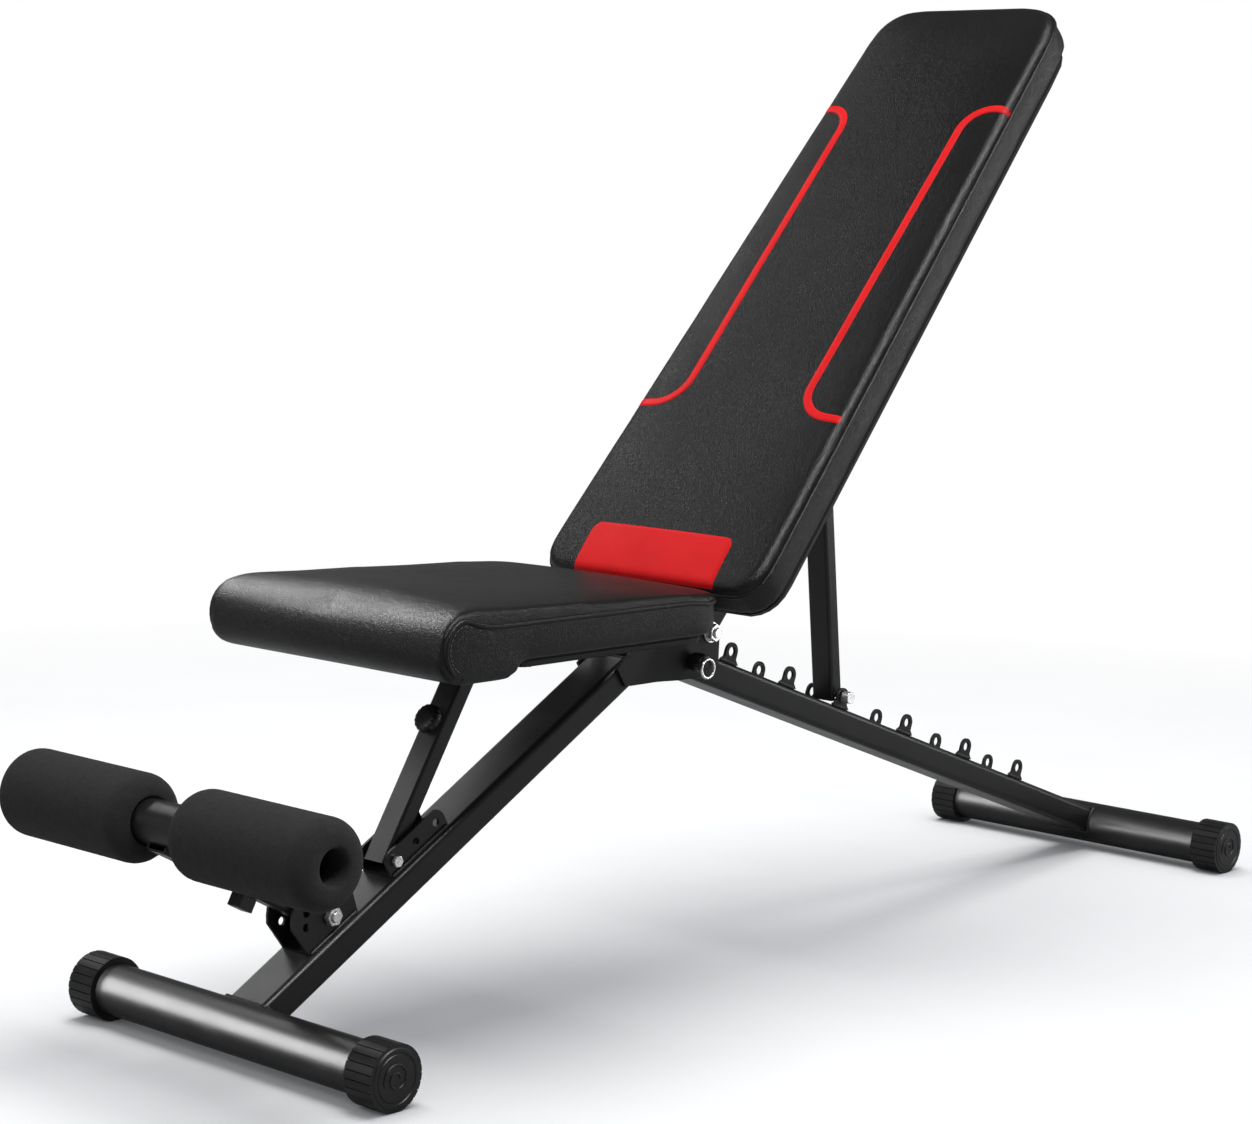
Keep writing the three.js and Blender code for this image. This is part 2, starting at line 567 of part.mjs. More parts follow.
// Two rails under the board run back to the seat's pivot.
const railTop = seatBoardLow - GAP;
const railIn = TUBE_WIDTH / 2 + GAP + SHEET + GAP;
function seatRail(side) {
  const ear = new THREE.Shape();
  ear.moveTo(262, railTop);
  ear.lineTo(262, railTop - 14);
  ear.lineTo(440, railTop - 14);
  ear.lineTo(SEAT_PIVOT[0] - 4, SEAT_PIVOT[1] - 10);
  ear.absarc(SEAT_PIVOT[0], SEAT_PIVOT[1], 10, -Math.PI / 2, Math.PI / 2, false);
  ear.lineTo(466, railTop);
  const y0 = side < 0 ? -railIn - SHEET : railIn;
  const flangeY = side < 0 ? [-railIn - 22, -railIn] : [railIn, railIn + 22];
  const flange = toSolid(block(262, 456, flangeY[0], flangeY[1], railTop - SHEET, railTop));
  const bore = toSolid(rod(4.5, -60, 60, SEAT_PIVOT[0], SEAT_PIVOT[1]));
  return toSolid(plateXZ(ear, y0, y0 + SHEET)).add(flange).subtract(bore);
}
bench.add(mesh('seat_rail_near', seatRail(-1), blackPaint));
bench.add(mesh('seat_rail_far', seatRail(1), blackPaint));

// ---- Seat strut: outer tube on the leg, inner tube under the seat -------------------------------------
const strutFoot = fromLeg(STRUT_FOOT);
const strut = slopedGroup(strutFoot[0], strutFoot[1], STRUT_ANGLE);
const strutWall = 1.8;
const strutPlay = 0.4;         // between the two tubes, all round

// A plunger hole through the strut's upper wall only.
function plungerHole(along) {
  const hole = new THREE.CylinderGeometry(4.2, 4.2, STRUT_DEPTH, 14);
  hole.rotateX(Math.PI / 2);
  hole.translate(along, 0, STRUT_DEPTH / 2 + 2);
  return hole;
}
// The tube's lower end is cut parallel to the leg, clear of its bracket's base.
const belowFoot = new THREE.BoxGeometry(60, 60, 30);
belowFoot.rotateY(rad(STRUT_ANGLE - LEG_ANGLE));
belowFoot.translate(-10.5, 0, -18.8);
const outerTube = boxTube(STRUT_WIDTH, STRUT_DEPTH, strutWall, 3, -7, STRUT_OUTER)
  .subtract(toSolid(rod(4, -30, 30, 0, 0)))
  .subtract(toSolid(belowFoot))
  .subtract(toSolid(plungerHole(SEAT_KNOB_AT)));
strut.add(mesh('seat_strut_outer', outerTube, blackPaint));
const innerWidth = STRUT_WIDTH - 2 * strutWall - 2 * strutPlay;
const innerDepth = STRUT_DEPTH - 2 * strutWall - 2 * strutPlay;
const innerTube = [0, 1, 2].reduce(
  (left, notch) => left.subtract(toSolid(plungerHole(SEAT_KNOB_AT - notch * STRUT_NOTCH))),
  boxTube(innerWidth, innerDepth, 1.6, 2, 84, STRUT_LENGTH - 8),
);
strut.add(mesh('seat_strut_inner', innerTube, zinc));
const seatKnob = pullKnob('seat_knob', 2.2, 13.5, 8.5);
seatKnob.position.set(SEAT_KNOB_AT, 0, STRUT_DEPTH / 2 - strutWall);
strut.add(seatKnob);
bench.add(strut);

// The bracket and pin under the seat board that the strut pushes on.
const strutTop = [
  strutFoot[0] + STRUT_LENGTH * Math.cos(rad(STRUT_ANGLE)),
  strutFoot[1] + STRUT_LENGTH * Math.sin(rad(STRUT_ANGLE)),
];
const topEar = new THREE.Shape();
topEar.moveTo(strutTop[0] - 18, railTop);
topEar.lineTo(strutTop[0] - 9, strutTop[1]);
topEar.absarc(strutTop[0], strutTop[1], 9, Math.PI, 2 * Math.PI, false);
topEar.lineTo(strutTop[0] + 18, railTop);
const topFrom = strutTop[0] - 24;
const topTo = strutTop[0] + 24;
const topBracket = uBracket(topEar, 19, [topFrom, topTo, railTop - SHEET, railTop], [[...strutTop, 4.3]]);
bench.add(mesh('seat_strut_top_bracket', topBracket, blackPaint));
bench.add(boltMesh('seat_strut_pin', strutTop, 4, -19.3, 22, -1, 6));

// ---- Leg-hold roller arm ----------------------------------------------------------------------------
const armAt = fromLeg(ARM_PIVOT);
const arm = slopedGroup(armAt[0], armAt[1], ARM_ANGLE);
const armC = Math.cos(rad(ARM_ANGLE));
const armS = Math.sin(rad(ARM_ANGLE));
const rollerDx = ROLLER_AXIS[0] - armAt[0];
const rollerDz = ROLLER_AXIS[1] - armAt[1];
const roller = [rollerDx * armC + rollerDz * armS, -rollerDx * armS + rollerDz * armC];
const armLock = [lockCircle * Math.cos(rad(10)), -lockCircle * Math.sin(rad(10))];
const armTube = boxTube(ARM_WIDTH, ARM_DEPTH, 2, 4, 4, 204)
  .add(toSolid(rod(12.5, -ARM_WIDTH / 2, ARM_WIDTH / 2, 0, 0, 24)))
  .subtract(toSolid(rod(5.4, -30, 30, 0, 0)))
  .subtract(toSolid(rod(4.3, -30, 30, armLock[0], armLock[1])))
  .subtract(toSolid(rod(CROSS_R + GAP, -30, 30, roller[0], roller[1], 32)));
arm.add(mesh('roller_arm', armTube, blackPaint));
const stopShape = roundedRect(10, 8, 3);
const stop = new THREE.ExtrudeGeometry(stopShape, { depth: 13, bevelEnabled: false, curveSegments: 3 });
stop.translate(90, 0, ARM_DEPTH / 2 + GAP);
arm.add(mesh('arm_stop', stop, blackPaint));
const crossBore = CROSS_R - 2;
arm.add(ringMesh('cross_tube', roller, CROSS_R, crossBore, -CROSS_HALF, CROSS_HALF, blackPaint, 28));
const [, lockHole] = armHoles;
const rollerPin = toSolid(rod(3.6, -24, -13.4, lockHole[0], lockHole[1]))
  .add(toSolid(rod(6, -29, -20, lockHole[0], lockHole[1])));
leg.add(mesh('roller_lock_pin', rollerPin, zinc));

// A foam sleeve whose outer end folds in over the tube's mouth.
function foamRoller(name, side) {
  const round = 17;
  const bore = CROSS_R + 0.4;
  const tubeEnd = CROSS_HALF + 5;
  const corner = (centreH, from) => [0, 1, 2, 3, 4].map((i) => {
    const angle = from + (i * Math.PI) / 8;
    return [FOAM_R - round + round * Math.cos(angle), centreH + round * Math.sin(angle)];
  });
  const profile = [
    [bore, FOAM_INNER_Y],
    ...corner(FOAM_INNER_Y + round, -Math.PI / 2),
    ...corner(FOAM_OUTER_Y - round, 0),
    [FOAM_MOUTH_R, FOAM_OUTER_Y],
    [FOAM_MOUTH_R, tubeEnd],
    [bore, tubeEnd],
    [bore, FOAM_INNER_Y],
  ];
  const points = profile.map(([r, h]) => new THREE.Vector2(r, h));
  const foam = mesh(name, new THREE.LatheGeometry(points, 28), foamGrey);
  foam.position.set(roller[0], 0, roller[1]);
  if (side < 0) foam.rotation.x = Math.PI;
  return foam;
}
arm.add(foamRoller('foam_roller_near', -1), foamRoller('foam_roller_far', 1));
bench.add(arm);

// Centre the bench on its box in X; Y and Z already are.
bench.updateMatrixWorld(true);
const box = new THREE.Box3().setFromObject(bench, true);
bench.position.x = -(box.min.x + box.max.x) / 2;

export default bench;
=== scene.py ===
"""Looks for a folding incline bench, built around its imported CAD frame. Metres, +Z up.

Every new piece keeps its object at the origin and its place in its vertices, as the CAD nodes do, so that
the materials' object coordinates are metres in one frame for all of them.
"""

import json
import math

import bpy
from mathutils import Matrix, Vector
from mathutils.bvhtree import BVHTree


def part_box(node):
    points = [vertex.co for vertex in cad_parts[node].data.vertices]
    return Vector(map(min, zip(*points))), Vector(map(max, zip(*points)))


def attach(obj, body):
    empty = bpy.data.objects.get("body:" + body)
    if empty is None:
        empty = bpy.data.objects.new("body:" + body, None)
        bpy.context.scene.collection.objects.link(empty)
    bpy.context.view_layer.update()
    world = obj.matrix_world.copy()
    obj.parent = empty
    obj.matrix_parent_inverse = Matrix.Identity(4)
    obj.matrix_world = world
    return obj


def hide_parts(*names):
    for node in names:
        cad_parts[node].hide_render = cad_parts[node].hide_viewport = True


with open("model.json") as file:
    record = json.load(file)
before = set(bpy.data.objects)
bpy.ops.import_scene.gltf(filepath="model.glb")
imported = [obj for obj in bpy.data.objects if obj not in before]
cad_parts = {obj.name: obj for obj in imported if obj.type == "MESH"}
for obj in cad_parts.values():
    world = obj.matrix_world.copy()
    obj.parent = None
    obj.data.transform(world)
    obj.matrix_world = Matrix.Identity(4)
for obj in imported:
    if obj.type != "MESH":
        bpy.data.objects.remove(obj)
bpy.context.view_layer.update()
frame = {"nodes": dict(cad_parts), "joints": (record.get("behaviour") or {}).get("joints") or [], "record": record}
NODES = frame["nodes"]
MM = 0.001
WELD_GAP = 0.00002             # vertices nearer than this are one

# ---- Places, from the frame --------------------------------------------------------------------------


def centre(node):
    low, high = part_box(node)
    return (low + high) / 2


def joint_at(name):
    return Vector(next(j["pos_m"] for j in frame["joints"] if j["name"] == name))


def sloped(origin, degrees, side=1):
    """A frame whose X runs at an angle above the floor, towards +X or -X; its Z is square to it, upwards."""
    c, s = math.cos(math.radians(degrees)), math.sin(math.radians(degrees))
    columns = [Vector((side * c, 0, s)), Vector((0, side, 0)), Vector((-side * s, 0, c)), origin]
    matrix = Matrix.Identity(4)
    for index, column in enumerate(columns):
        for row in range(3):
            matrix[row][index] = column[row]
    return matrix


PIVOT = joint_at("recline")
SEAT_PIVOT = joint_at("seat_tilt")
FOOT_FRONT = centre("front_foot_tube")
FOOT_REAR = centre("rear_foot_tube")
ROLLER = centre("cross_tube")
LEG = sloped(FOOT_FRONT, 29.8)
BEAM = sloped(FOOT_REAR, 19.6, side=-1)
BACK = sloped(PIVOT, 48.6)
STRUT = sloped(joint_at("seat_strut_swing"), 59)
UPRIGHT = sloped(Vector((FOOT_FRONT.x, 0, 0)), 0)

# ---- Materials ---------------------------------------------------------------------------------------


class Graph:
    """A short way to write one material's node tree."""

    def __init__(self, name):
        self.material = bpy.data.materials.new(name)
        self.material.use_nodes = True
        self.tree = self.material.node_tree
        self.shader = self.tree.nodes["Principled BSDF"]
        self.where = self.add("ShaderNodeTexCoord").outputs["Object"]

    def add(self, kind, inputs=None, **settings):
        node = self.tree.nodes.new(kind)
        for key, value in settings.items():
            setattr(node, key, value)
        for key, value in (inputs or {}).items():
            self.put(node.inputs[key], value)
        return node

    def put(self, socket, value):
        if isinstance(value, bpy.types.NodeSocket):
            self.tree.links.new(value, socket)
        else:
            socket.default_value = value

    def noise(self, scale, detail=3.0, roughness=0.55, distortion=0.0, where=None):
        inputs = {
            "Vector": where or self.where,
            "Scale": scale,
            "Detail": detail,
            "Roughness": roughness,
            "Distortion": distortion,
        }
        return self.add("ShaderNodeTexNoise", inputs).outputs["Fac"]

    def cells(self, scale, feature="F1", where=None):
        inputs = {"Vector": where or self.where, "Scale": scale}
        return self.add("ShaderNodeTexVoronoi", inputs, feature=feature).outputs["Distance"]

    def remap(self, value, low, high, to_low, to_high):
        inputs = {"Value": value, "From Min": low, "From Max": high, "To Min": to_low, "To Max": to_high}
        return self.add("ShaderNodeMapRange", inputs).outputs["Result"]

    def math(self, operation, first, second):
        node = self.add("ShaderNodeMath", operation=operation)
        self.put(node.inputs[0], first)
        self.put(node.inputs[1], second)
        return node.outputs[0]

    def mix(self, fac, dark, light):
        node = self.add("ShaderNodeMix", {"Factor": fac}, data_type="RGBA")
        self.put(node.inputs[6], dark)
        self.put(node.inputs[7], light)
        return node.outputs[2]

    def stretched(self, scale):
        return self.add("ShaderNodeMapping", {"Vector": self.where, "Scale": scale}).outputs["Vector"]

    def bump(self, height, strength, distance, below=None):
        node = self.add("ShaderNodeBump", {"Height": height, "Strength": strength, "Distance": distance})
        if below is not None:
            self.put(node.inputs["Normal"], below)
        return node.outputs["Normal"]

    def finish(self, colour, roughness, normal, metallic=0.0, **more):
        self.put(self.shader.inputs["Base Color"], colour)
        self.put(self.shader.inputs["Roughness"], roughness)
        self.put(self.shader.inputs["Normal"], normal)
        self.put(self.shader.inputs["Metallic"], metallic)
        for key, value in more.items():
            self.put(self.shader.inputs[key.replace("_", " ")], value)
        return self.material


def grey(value, warmth=0.0):
    return (value * (1 + warmth), value, value * (1 - warmth), 1)


def powder_coat():
    g = Graph("powder_coat")
    cloud = g.noise(9, 4)
    peel = g.noise(900, 2)
    speck = g.noise(2600, 1)
    colour = g.mix(g.remap(cloud, 0.35, 0.7, 0, 1), grey(0.022), grey(0.03))
    rough = g.remap(g.noise(35, 5), 0.3, 0.75, 0.3, 0.4)
    normal = g.bump(speck, 0.12, 0.0004, g.bump(peel, 0.2, 0.0007))
    return g.finish(colour, rough, normal, 0.55, Coat_Weight=0.1, Coat_Roughness=0.2)


def moulded_plastic():
    g = Graph("moulded_plastic")
    spark = g.cells(1500)
    colour = g.mix(g.remap(g.noise(30, 4), 0.35, 0.7, 0, 1), grey(0.008), grey(0.014))
    rough = g.remap(g.noise(60, 4), 0.3, 0.7, 0.3, 0.44)
    return g.finish(colour, rough, g.bump(spark, 0.18, 0.0004), Specular_IOR_Level=0.45)


def imitation_leather():
    g = Graph("imitation_leather")
    warp = g.add("ShaderNodeVectorMath", operation="ADD")
    wander = g.add("ShaderNodeTexNoise", {"Vector": g.where, "Scale": 160.0, "Detail": 2.0})
    scaled = g.add("ShaderNodeVectorMath", operation="SCALE")
    g.put(scaled.inputs[0], wander.outputs["Color"])
    g.put(scaled.inputs["Scale"], 0.004)
    g.put(warp.inputs[0], g.where)
    g.put(warp.inputs[1], scaled.outputs[0])
    pebble = g.cells(520, "DISTANCE_TO_EDGE", warp.outputs[0])
    grain = g.remap(pebble, 0.0, 0.22, 0.0, 1.0)
    crease = g.noise(26, 5, 0.6, 1.2)
    colour = g.mix(g.remap(g.noise(7, 5), 0.3, 0.75, 0, 1), grey(0.0045), grey(0.0085))
    rough = g.math("ADD", g.remap(g.noise(18, 5), 0.3, 0.75, 0.31, 0.40), g.math("MULTIPLY", grain, -0.03))
    normal = g.bump(crease, 0.12, 0.0035, g.bump(grain, 0.32, 0.0005))
    return g.finish(colour, rough, normal, 0.0, Specular_IOR_Level=0.36)


def red_vinyl():
    g = Graph("red_vinyl")
    grain = g.remap(g.cells(620, "DISTANCE_TO_EDGE"), 0.0, 0.22, 0.0, 1.0)
    red = g.mix(g.remap(g.noise(14, 4), 0.3, 0.7, 0, 1), (0.66, 0.004, 0.006, 1), (0.76, 0.007, 0.009, 1))
    rough = g.remap(g.noise(40, 3), 0.3, 0.7, 0.34, 0.45)
    return g.finish(red, rough, g.bump(grain, 0.12, 0.0004), Specular_IOR_Level=0.12)


def closed_cell_foam():
    g = Graph("closed_cell_foam")
    pore = g.remap(g.cells(850), 0.0, 0.5, 0.0, 1.0)
    lump = g.noise(240, 5, 0.6)
    colour = g.mix(g.remap(lump, 0.35, 0.7, 0, 1), grey(0.007), grey(0.013))
    rough = g.remap(g.noise(120, 3), 0.3, 0.7, 0.86, 0.98)
    normal = g.bump(lump, 0.35, 0.0016, g.bump(pore, 0.6, 0.0009))
    return g.finish(colour, rough, normal, 0.0, Sheen_Weight=0.03, Sheen_Roughness=0.6)


def zinc_plate():
    g = Graph("zinc_plate")
    lines = g.noise(240, 4, 0.7, where=g.stretched((1, 9, 1)))
    colour = g.mix(g.remap(g.noise(60, 4), 0.3, 0.7, 0, 1), grey(0.62, 0.01), grey(0.82, 0.01))
    rough = g.remap(lines, 0.3, 0.7, 0.2, 0.38)
    return g.finish(colour, rough, g.bump(lines, 0.1, 0.0003), 0.8)


def backing_cloth():
    g = Graph("backing_cloth")
    fibre = g.noise(700, 5, 0.75, 2.0)
    dimple = g.cells(330)
    colour = g.mix(g.remap(fibre, 0.3, 0.7, 0, 1), grey(0.012), grey(0.034))
    normal = g.bump(dimple, 0.35, 0.0006, g.bump(fibre, 0.3, 0.0004))
    return g.finish(colour, g.remap(fibre, 0.3, 0.7, 0.82, 0.96), normal)


def weld_metal():
    g = Graph("weld_bead")
    ripple = g.noise(650, 3, 0.6)
    colour = g.mix(g.remap(ripple, 0.3, 0.7, 0, 1), grey(0.012), grey(0.024))
    return g.finish(colour, g.remap(ripple, 0.3, 0.7, 0.32, 0.5), g.bump(ripple, 0.4, 0.0007))


def sewing_thread():
    g = Graph("sewing_thread")
    twist = g.noise(1800, 2, 0.5)
    colour = g.mix(g.remap(twist, 0.3, 0.7, 0, 1), grey(0.10), grey(0.22))
    return g.finish(colour, g.remap(twist, 0.3, 0.7, 0.5, 0.7), g.bump(twist, 0.3, 0.0003))


PAINT = powder_coat()
THREAD = sewing_thread()
PLASTIC = moulded_plastic()
LEATHER = imitation_leather()
RED = red_vinyl()
FOAM = closed_cell_foam()
ZINC = zinc_plate()
CLOTH = backing_cloth()
WELD = weld_metal()
FINISH = {"black_paint": PAINT, "black_plastic": PLASTIC, "black_vinyl": LEATHER}
FINISH.update({"foam": FOAM, "zinc": ZINC, "board": CLOTH})

# ---- Mesh helpers ------------------------------------------------------------------------------------


def piece(name, points, faces, material, body, matrix=None, smooth=True):
    """A mesh from points in metres in the given frame, riding on a CAD body."""
    mesh = bpy.data.meshes.new(name)
    mesh.from_pydata([tuple(matrix @ Vector(p)) if matrix else tuple(p) for p in points], [], faces)
    mesh.validate()
    mesh.update()
    mesh.polygons.foreach_set("use_smooth", [smooth] * len(mesh.polygons))
    made = bpy.data.objects.new(name, mesh)
    bpy.context.scene.collection.objects.link(made)
    mesh.materials.append(material)
    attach(made, body)
    return made


def grid_faces(rows, columns, close_rows=False, close_columns=False):
    faces = []
    for i in range(rows if close_rows else rows - 1):
        for j in range(columns if close_columns else columns - 1):
            k, m = (i + 1) % rows, (j + 1) % columns
            faces.append((i * columns + j, i * columns + m, k * columns + m, k * columns + j))
    return faces


def pipe(path, radius, sides=10, closed=False, ripple=0.0):
    """Points and faces of a tube along a path; ripple swells it every few points, as a weld bead does."""
    points = []
    count = len(path)
    side_way = None
    for i, here in enumerate(path):
        ahead = path[(i + 1) % count] if closed or i < count - 1 else here
        behind = path[i - 1] if closed or i else here
        along = (ahead - behind).normalized()
        if side_way is None:
            side_way = along.orthogonal()
        side_way = (side_way - along * side_way.dot(along)).normalized()
        up = along.cross(side_way)
        grow = radius * (1 + ripple * math.sin(i * 2.4))
        if not closed and i in (0, count - 1):
            grow *= 0.45
        for k in range(sides):
            turn = 2 * math.pi * k / sides
            points.append(here + (side_way * math.cos(turn) + up * math.sin(turn)) * grow)
    faces = grid_faces(count, sides, close_rows=closed, close_columns=True)
    if not closed:
        faces.append(tuple(range(sides)))
        faces.append(tuple(range((count - 1) * sides, count * sides))[::-1])
    return points, faces


def join(parts):
    points, faces = [], []
    for more_points, more_faces in parts:
        start = len(points)
        points += list(more_points)
        faces += [tuple(start + index for index in face) for face in more_faces]
    return points, faces


def lathe(profile, segments, matrix, closed=False, flutes=0, depth=0.0):
    """A profile of (radius, height) turned about the frame's Z; flutes press shallow grooves into it."""
    points = []
    for radius, height in profile:
        for k in range(segments):
            turn = 2 * math.pi * k / segments
            pressed = radius * (1 - depth * (0.5 - 0.5 * math.cos(flutes * turn))) if flutes else radius
            points.append(matrix @ Vector((pressed * math.cos(turn), pressed * math.sin(turn), height)))
    faces = grid_faces(len(profile), segments, close_rows=closed, close_columns=True)
    if not closed:
        faces.append(tuple(range(segments))[::-1])
        faces.append(tuple(range((len(profile) - 1) * segments, len(profile) * segments)))
    return points, faces


def facing(at, direction):
    """A frame at a point whose Z looks along a direction."""
    turned = Vector(direction).to_track_quat("Z", "Y").to_matrix().to_4x4()
    return Matrix.Translation(at) @ turned


def in_mm(profile):
    return [(r * MM, h * MM) for r, h in profile]


def crease_edges(made, degrees=35):
    """Smooth shading that stays sharp at an angle."""
    made.data.polygons.foreach_set("use_smooth", [True] * len(made.data.polygons))
    made.data.set_sharp_from_angle(angle=math.radians(degrees))


# ---- The CAD nodes' own finish -----------------------------------------------------------------------


def dress(node, material):
    """A CAD node keeps its mesh: modifiers weld it, dissolve its flat facets and round its edges."""
    shown = NODES[node]
    shown.data.materials.clear()
    shown.data.materials.append(material)
    custom = shown.data.attributes.get("custom_normal")
    if custom:
        shown.data.attributes.remove(custom)
    shown.data.polygons.foreach_set("use_smooth", [True] * len(shown.data.polygons))
    weld = shown.modifiers.new("weld", "WELD")
    weld.merge_threshold = WELD_GAP
    flat = shown.modifiers.new("flat", "DECIMATE")
    flat.decimate_type = "DISSOLVE"
    flat.angle_limit = math.radians(0.6)
    edge = shown.modifiers.new("edge", "BEVEL")
    edge.width = 0.0006
    edge.segments = 2
    edge.limit_method = "ANGLE"
    edge.angle_limit = math.radians(38)
    edge.harden_normals = True
    even = shown.modifiers.new("even", "WEIGHTED_NORMAL")
    even.keep_sharp = True


for part in frame["record"]["subparts"]:
    dress(part["node"], FINISH[part["material_slot"]])

# ---- Cushions ----------------------------------------------------------------------------------------
VOXEL = 0.005
RIM = 0.009                    # the height over which a squared pad's side is pushed out
AIR_STEPS = 20


def cushion(name, node, body, matrix, inset, base, pinned, lift, cap, squared=0.0):
    """A CAD pad's shape, remeshed in its own frame and swollen by air pressure between its sewn edges."""
    inverse = matrix.inverted()
    source = NODES[node].data
    mesh = source.copy()
    mesh.name = name
    mesh.transform(inverse)
    low = Vector([min(v.co[i] for v in mesh.vertices) for i in range(3)])
    high = Vector([max(v.co[i] for v in mesh.vertices) for i in range(3)])
    middle = (low + high) / 2
    for v in mesh.vertices:
        up = min(v.co[2] - low[2], RIM)
        tucked = squared * (RIM - math.sqrt(RIM**2 - (RIM - up) ** 2))
        for i in (0, 1):
            v.co[i] = middle[i] + (v.co[i] - middle[i]) * (1 - 2 * (inset - tucked) / (high[i] - low[i]))
        v.co[2] = base(low, high, v.co)
    made = bpy.data.objects.new(name, mesh)
    bpy.context.scene.collection.objects.link(made)
    weld = made.modifiers.new("weld", "WELD")
    weld.merge_threshold = WELD_GAP
    remesh = made.modifiers.new("remesh", "REMESH")
    remesh.mode = "VOXEL"
    remesh.voxel_size = VOXEL
    apply_modifiers(made)
    rest = [v.co.copy() for v in made.data.vertices]
    normals = [v.normal.copy() for v in made.data.vertices]
    group = made.vertex_groups.new(name="sewn")
    for index, (co, normal) in enumerate(zip(rest, normals)):
        weight = pinned(co, normal, low, high)
        if weight > 0:
            group.add([index], weight, "REPLACE")
    cloth = made.modifiers.new("air", "CLOTH")
    cloth.settings.use_pressure = True
    cloth.settings.uniform_pressure_force = lift
    cloth.settings.effector_weights.gravity = 0
    cloth.settings.vertex_group_mass = "sewn"
    cloth.settings.quality = 5
    cloth.settings.tension_stiffness = 12
    cloth.settings.compression_stiffness = 12
    cloth.settings.bending_stiffness = 4.0
    cloth.collision_settings.use_collision = False
    cloth.point_cache.frame_start = 1
    cloth.point_cache.frame_end = AIR_STEPS
    for step in range(1, AIR_STEPS + 1):
        bpy.context.scene.frame_set(step)
    apply_modifiers(made)
    bpy.context.scene.frame_set(1)
    for v, start in zip(made.data.vertices, rest):
        moved = v.co - start
        if moved.length > cap:
            v.co = start + moved * (cap / moved.length)
    smooth_surface(made, 5)
    made.data.transform(matrix)
    made.data.polygons.foreach_set("use_smooth", [True] * len(made.data.polygons))
    made.data.materials.clear()
    made.data.materials.append(LEATHER)
    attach(made, body)
    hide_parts(node)
    finer = made.modifiers.new("finer", "SUBSURF")
    finer.levels = 1
    finer.render_levels = 1
    return made


def apply_modifiers(made):
    graph = bpy.context.evaluated_depsgraph_get()
    baked = bpy.data.meshes.new_from_object(made.evaluated_get(graph))
    made.modifiers.clear()
    made.data = baked


def smooth_surface(made, rounds):
    soft = made.modifiers.new("soft", "SMOOTH")
    soft.iterations = rounds
    soft.factor = 0.5
    apply_modifiers(made)


def back_base(low, high, co):
    """The back of the pad stays on its board and its front starts a little lower."""
    return low.z + (co.z - low.z) * (1 - 0.0015 / (high.z - low.z))


def back_pins(co, normal, low, high):
    if co.z < low.z + 0.006:
        return 1.0
    front_edge = co.z > low.z + 0.022 and 0.3 < normal.z < 0.93
    return 0.85 if front_edge else 0.0


def seat_base(low, high, co):
    """The top starts a little lower, and the bottom of the front roll a little higher."""
    roll = max(0.0, 1 - (co.z - low.z) / 0.018)
    return low.z + 0.003 * roll + (co.z - low.z) * (1 - 0.003 / (high.z - low.z))


def seat_pins(co, normal, low, high):
    on_board = co.x > low.x + 0.105 and normal.z < -0.6
    if on_board:
        return 1.0
    side_edge = 0.35 < abs(normal.y) < 0.93
    return 0.8 if side_edge else 0.0


TUCK, PRESSURE = 0.003, 4.0
back_pad = cushion("backrest_pad", "backrest_cushion", "backrest", BACK, TUCK, back_base, back_pins,
                   PRESSURE, 0.007, 0.75)
seat_pad = cushion("seat_pad", "seat_cushion", "seat", UPRIGHT, TUCK, seat_base, seat_pins, PRESSURE, 0.008)


def surface_of(made, matrix):
    """A finder of the piece's surface in a local frame, and a cast that returns (point, normal) there."""
    graph = bpy.context.evaluated_depsgraph_get()
    mesh = made.evaluated_get(graph).to_mesh()
    inverse = matrix.inverted()
    points = [inverse @ v.co for v in mesh.vertices]
    tree = BVHTree.FromPolygons(points, [tuple(p.vertices) for p in mesh.polygons])
    made.evaluated_get(graph).to_mesh_clear()

    def cast(start, direction):
        point, normal, _, _ = tree.ray_cast(Vector(start), Vector(direction).normalized())
        return (point, normal) if point else None

    return cast


BACK_FROM, BACK_TO = -0.008, 0.799
BACK_HALF = (0.1495, 0.122)
BACK_CORNER = (0.042, 0.052)
BACK_NEAR_PLANE = 0.046


def bezier(a, b, c, count):
    steps = [i / count for i in range(1, count + 1)]
    return [a * (1 - t) ** 2 + b * 2 * t * (1 - t) + c * t * t for t in steps]


def back_outline(inset=0.0, fine=10):
    """Points round the backrest pad, in its own frame, anticlockwise from the front."""
    low, high = BACK_HALF[0] - inset, BACK_HALF[1] - inset
    start, end = BACK_FROM + inset, BACK_TO - inset
    r0, r1 = BACK_CORNER
    slope = (low - high) / (end - start)
    sides = []
    for sign in (-1, 1):
        bottom = bezier(Vector((start, sign * (low - r0))), Vector((start, sign * low)),
                        Vector((start + r0, sign * (low - slope * r0))), fine)
        run = [bottom[-1].lerp(Vector((end - r1, sign * (high + slope * r1))), t / 40) for t in range(1, 40)]
        top = bezier(Vector((end - r1, sign * (high + slope * r1))), Vector((end, sign * high)),
                     Vector((end, sign * (high - r1))), fine)
        sides.append(bottom + run + top)
    across = [sides[0][-1].lerp(sides[1][-1], t / 14) for t in range(1, 14)]
    back_across = [sides[1][0].lerp(sides[0][0], t / 18) for t in range(1, 18)]
    return sides[0] + across + sides[1][::-1] + back_across


def outward(points, index):
    """The way out of an anticlockwise outline at one of its points."""
    ahead, behind = points[(index + 1) % len(points)], points[index - 1]
    run = (ahead - behind).normalized()
    return Vector((run.y, -run.x))


def evened(path, rounds=2):
    for _ in range(rounds):
        path = [(path[i - 1] + path[i] * 2 + path[(i + 1) % len(path)]) / 4 for i in range(len(path))]
    return path


back_cast = surface_of(back_pad, BACK)
seat_cast = surface_of(seat_pad, UPRIGHT)


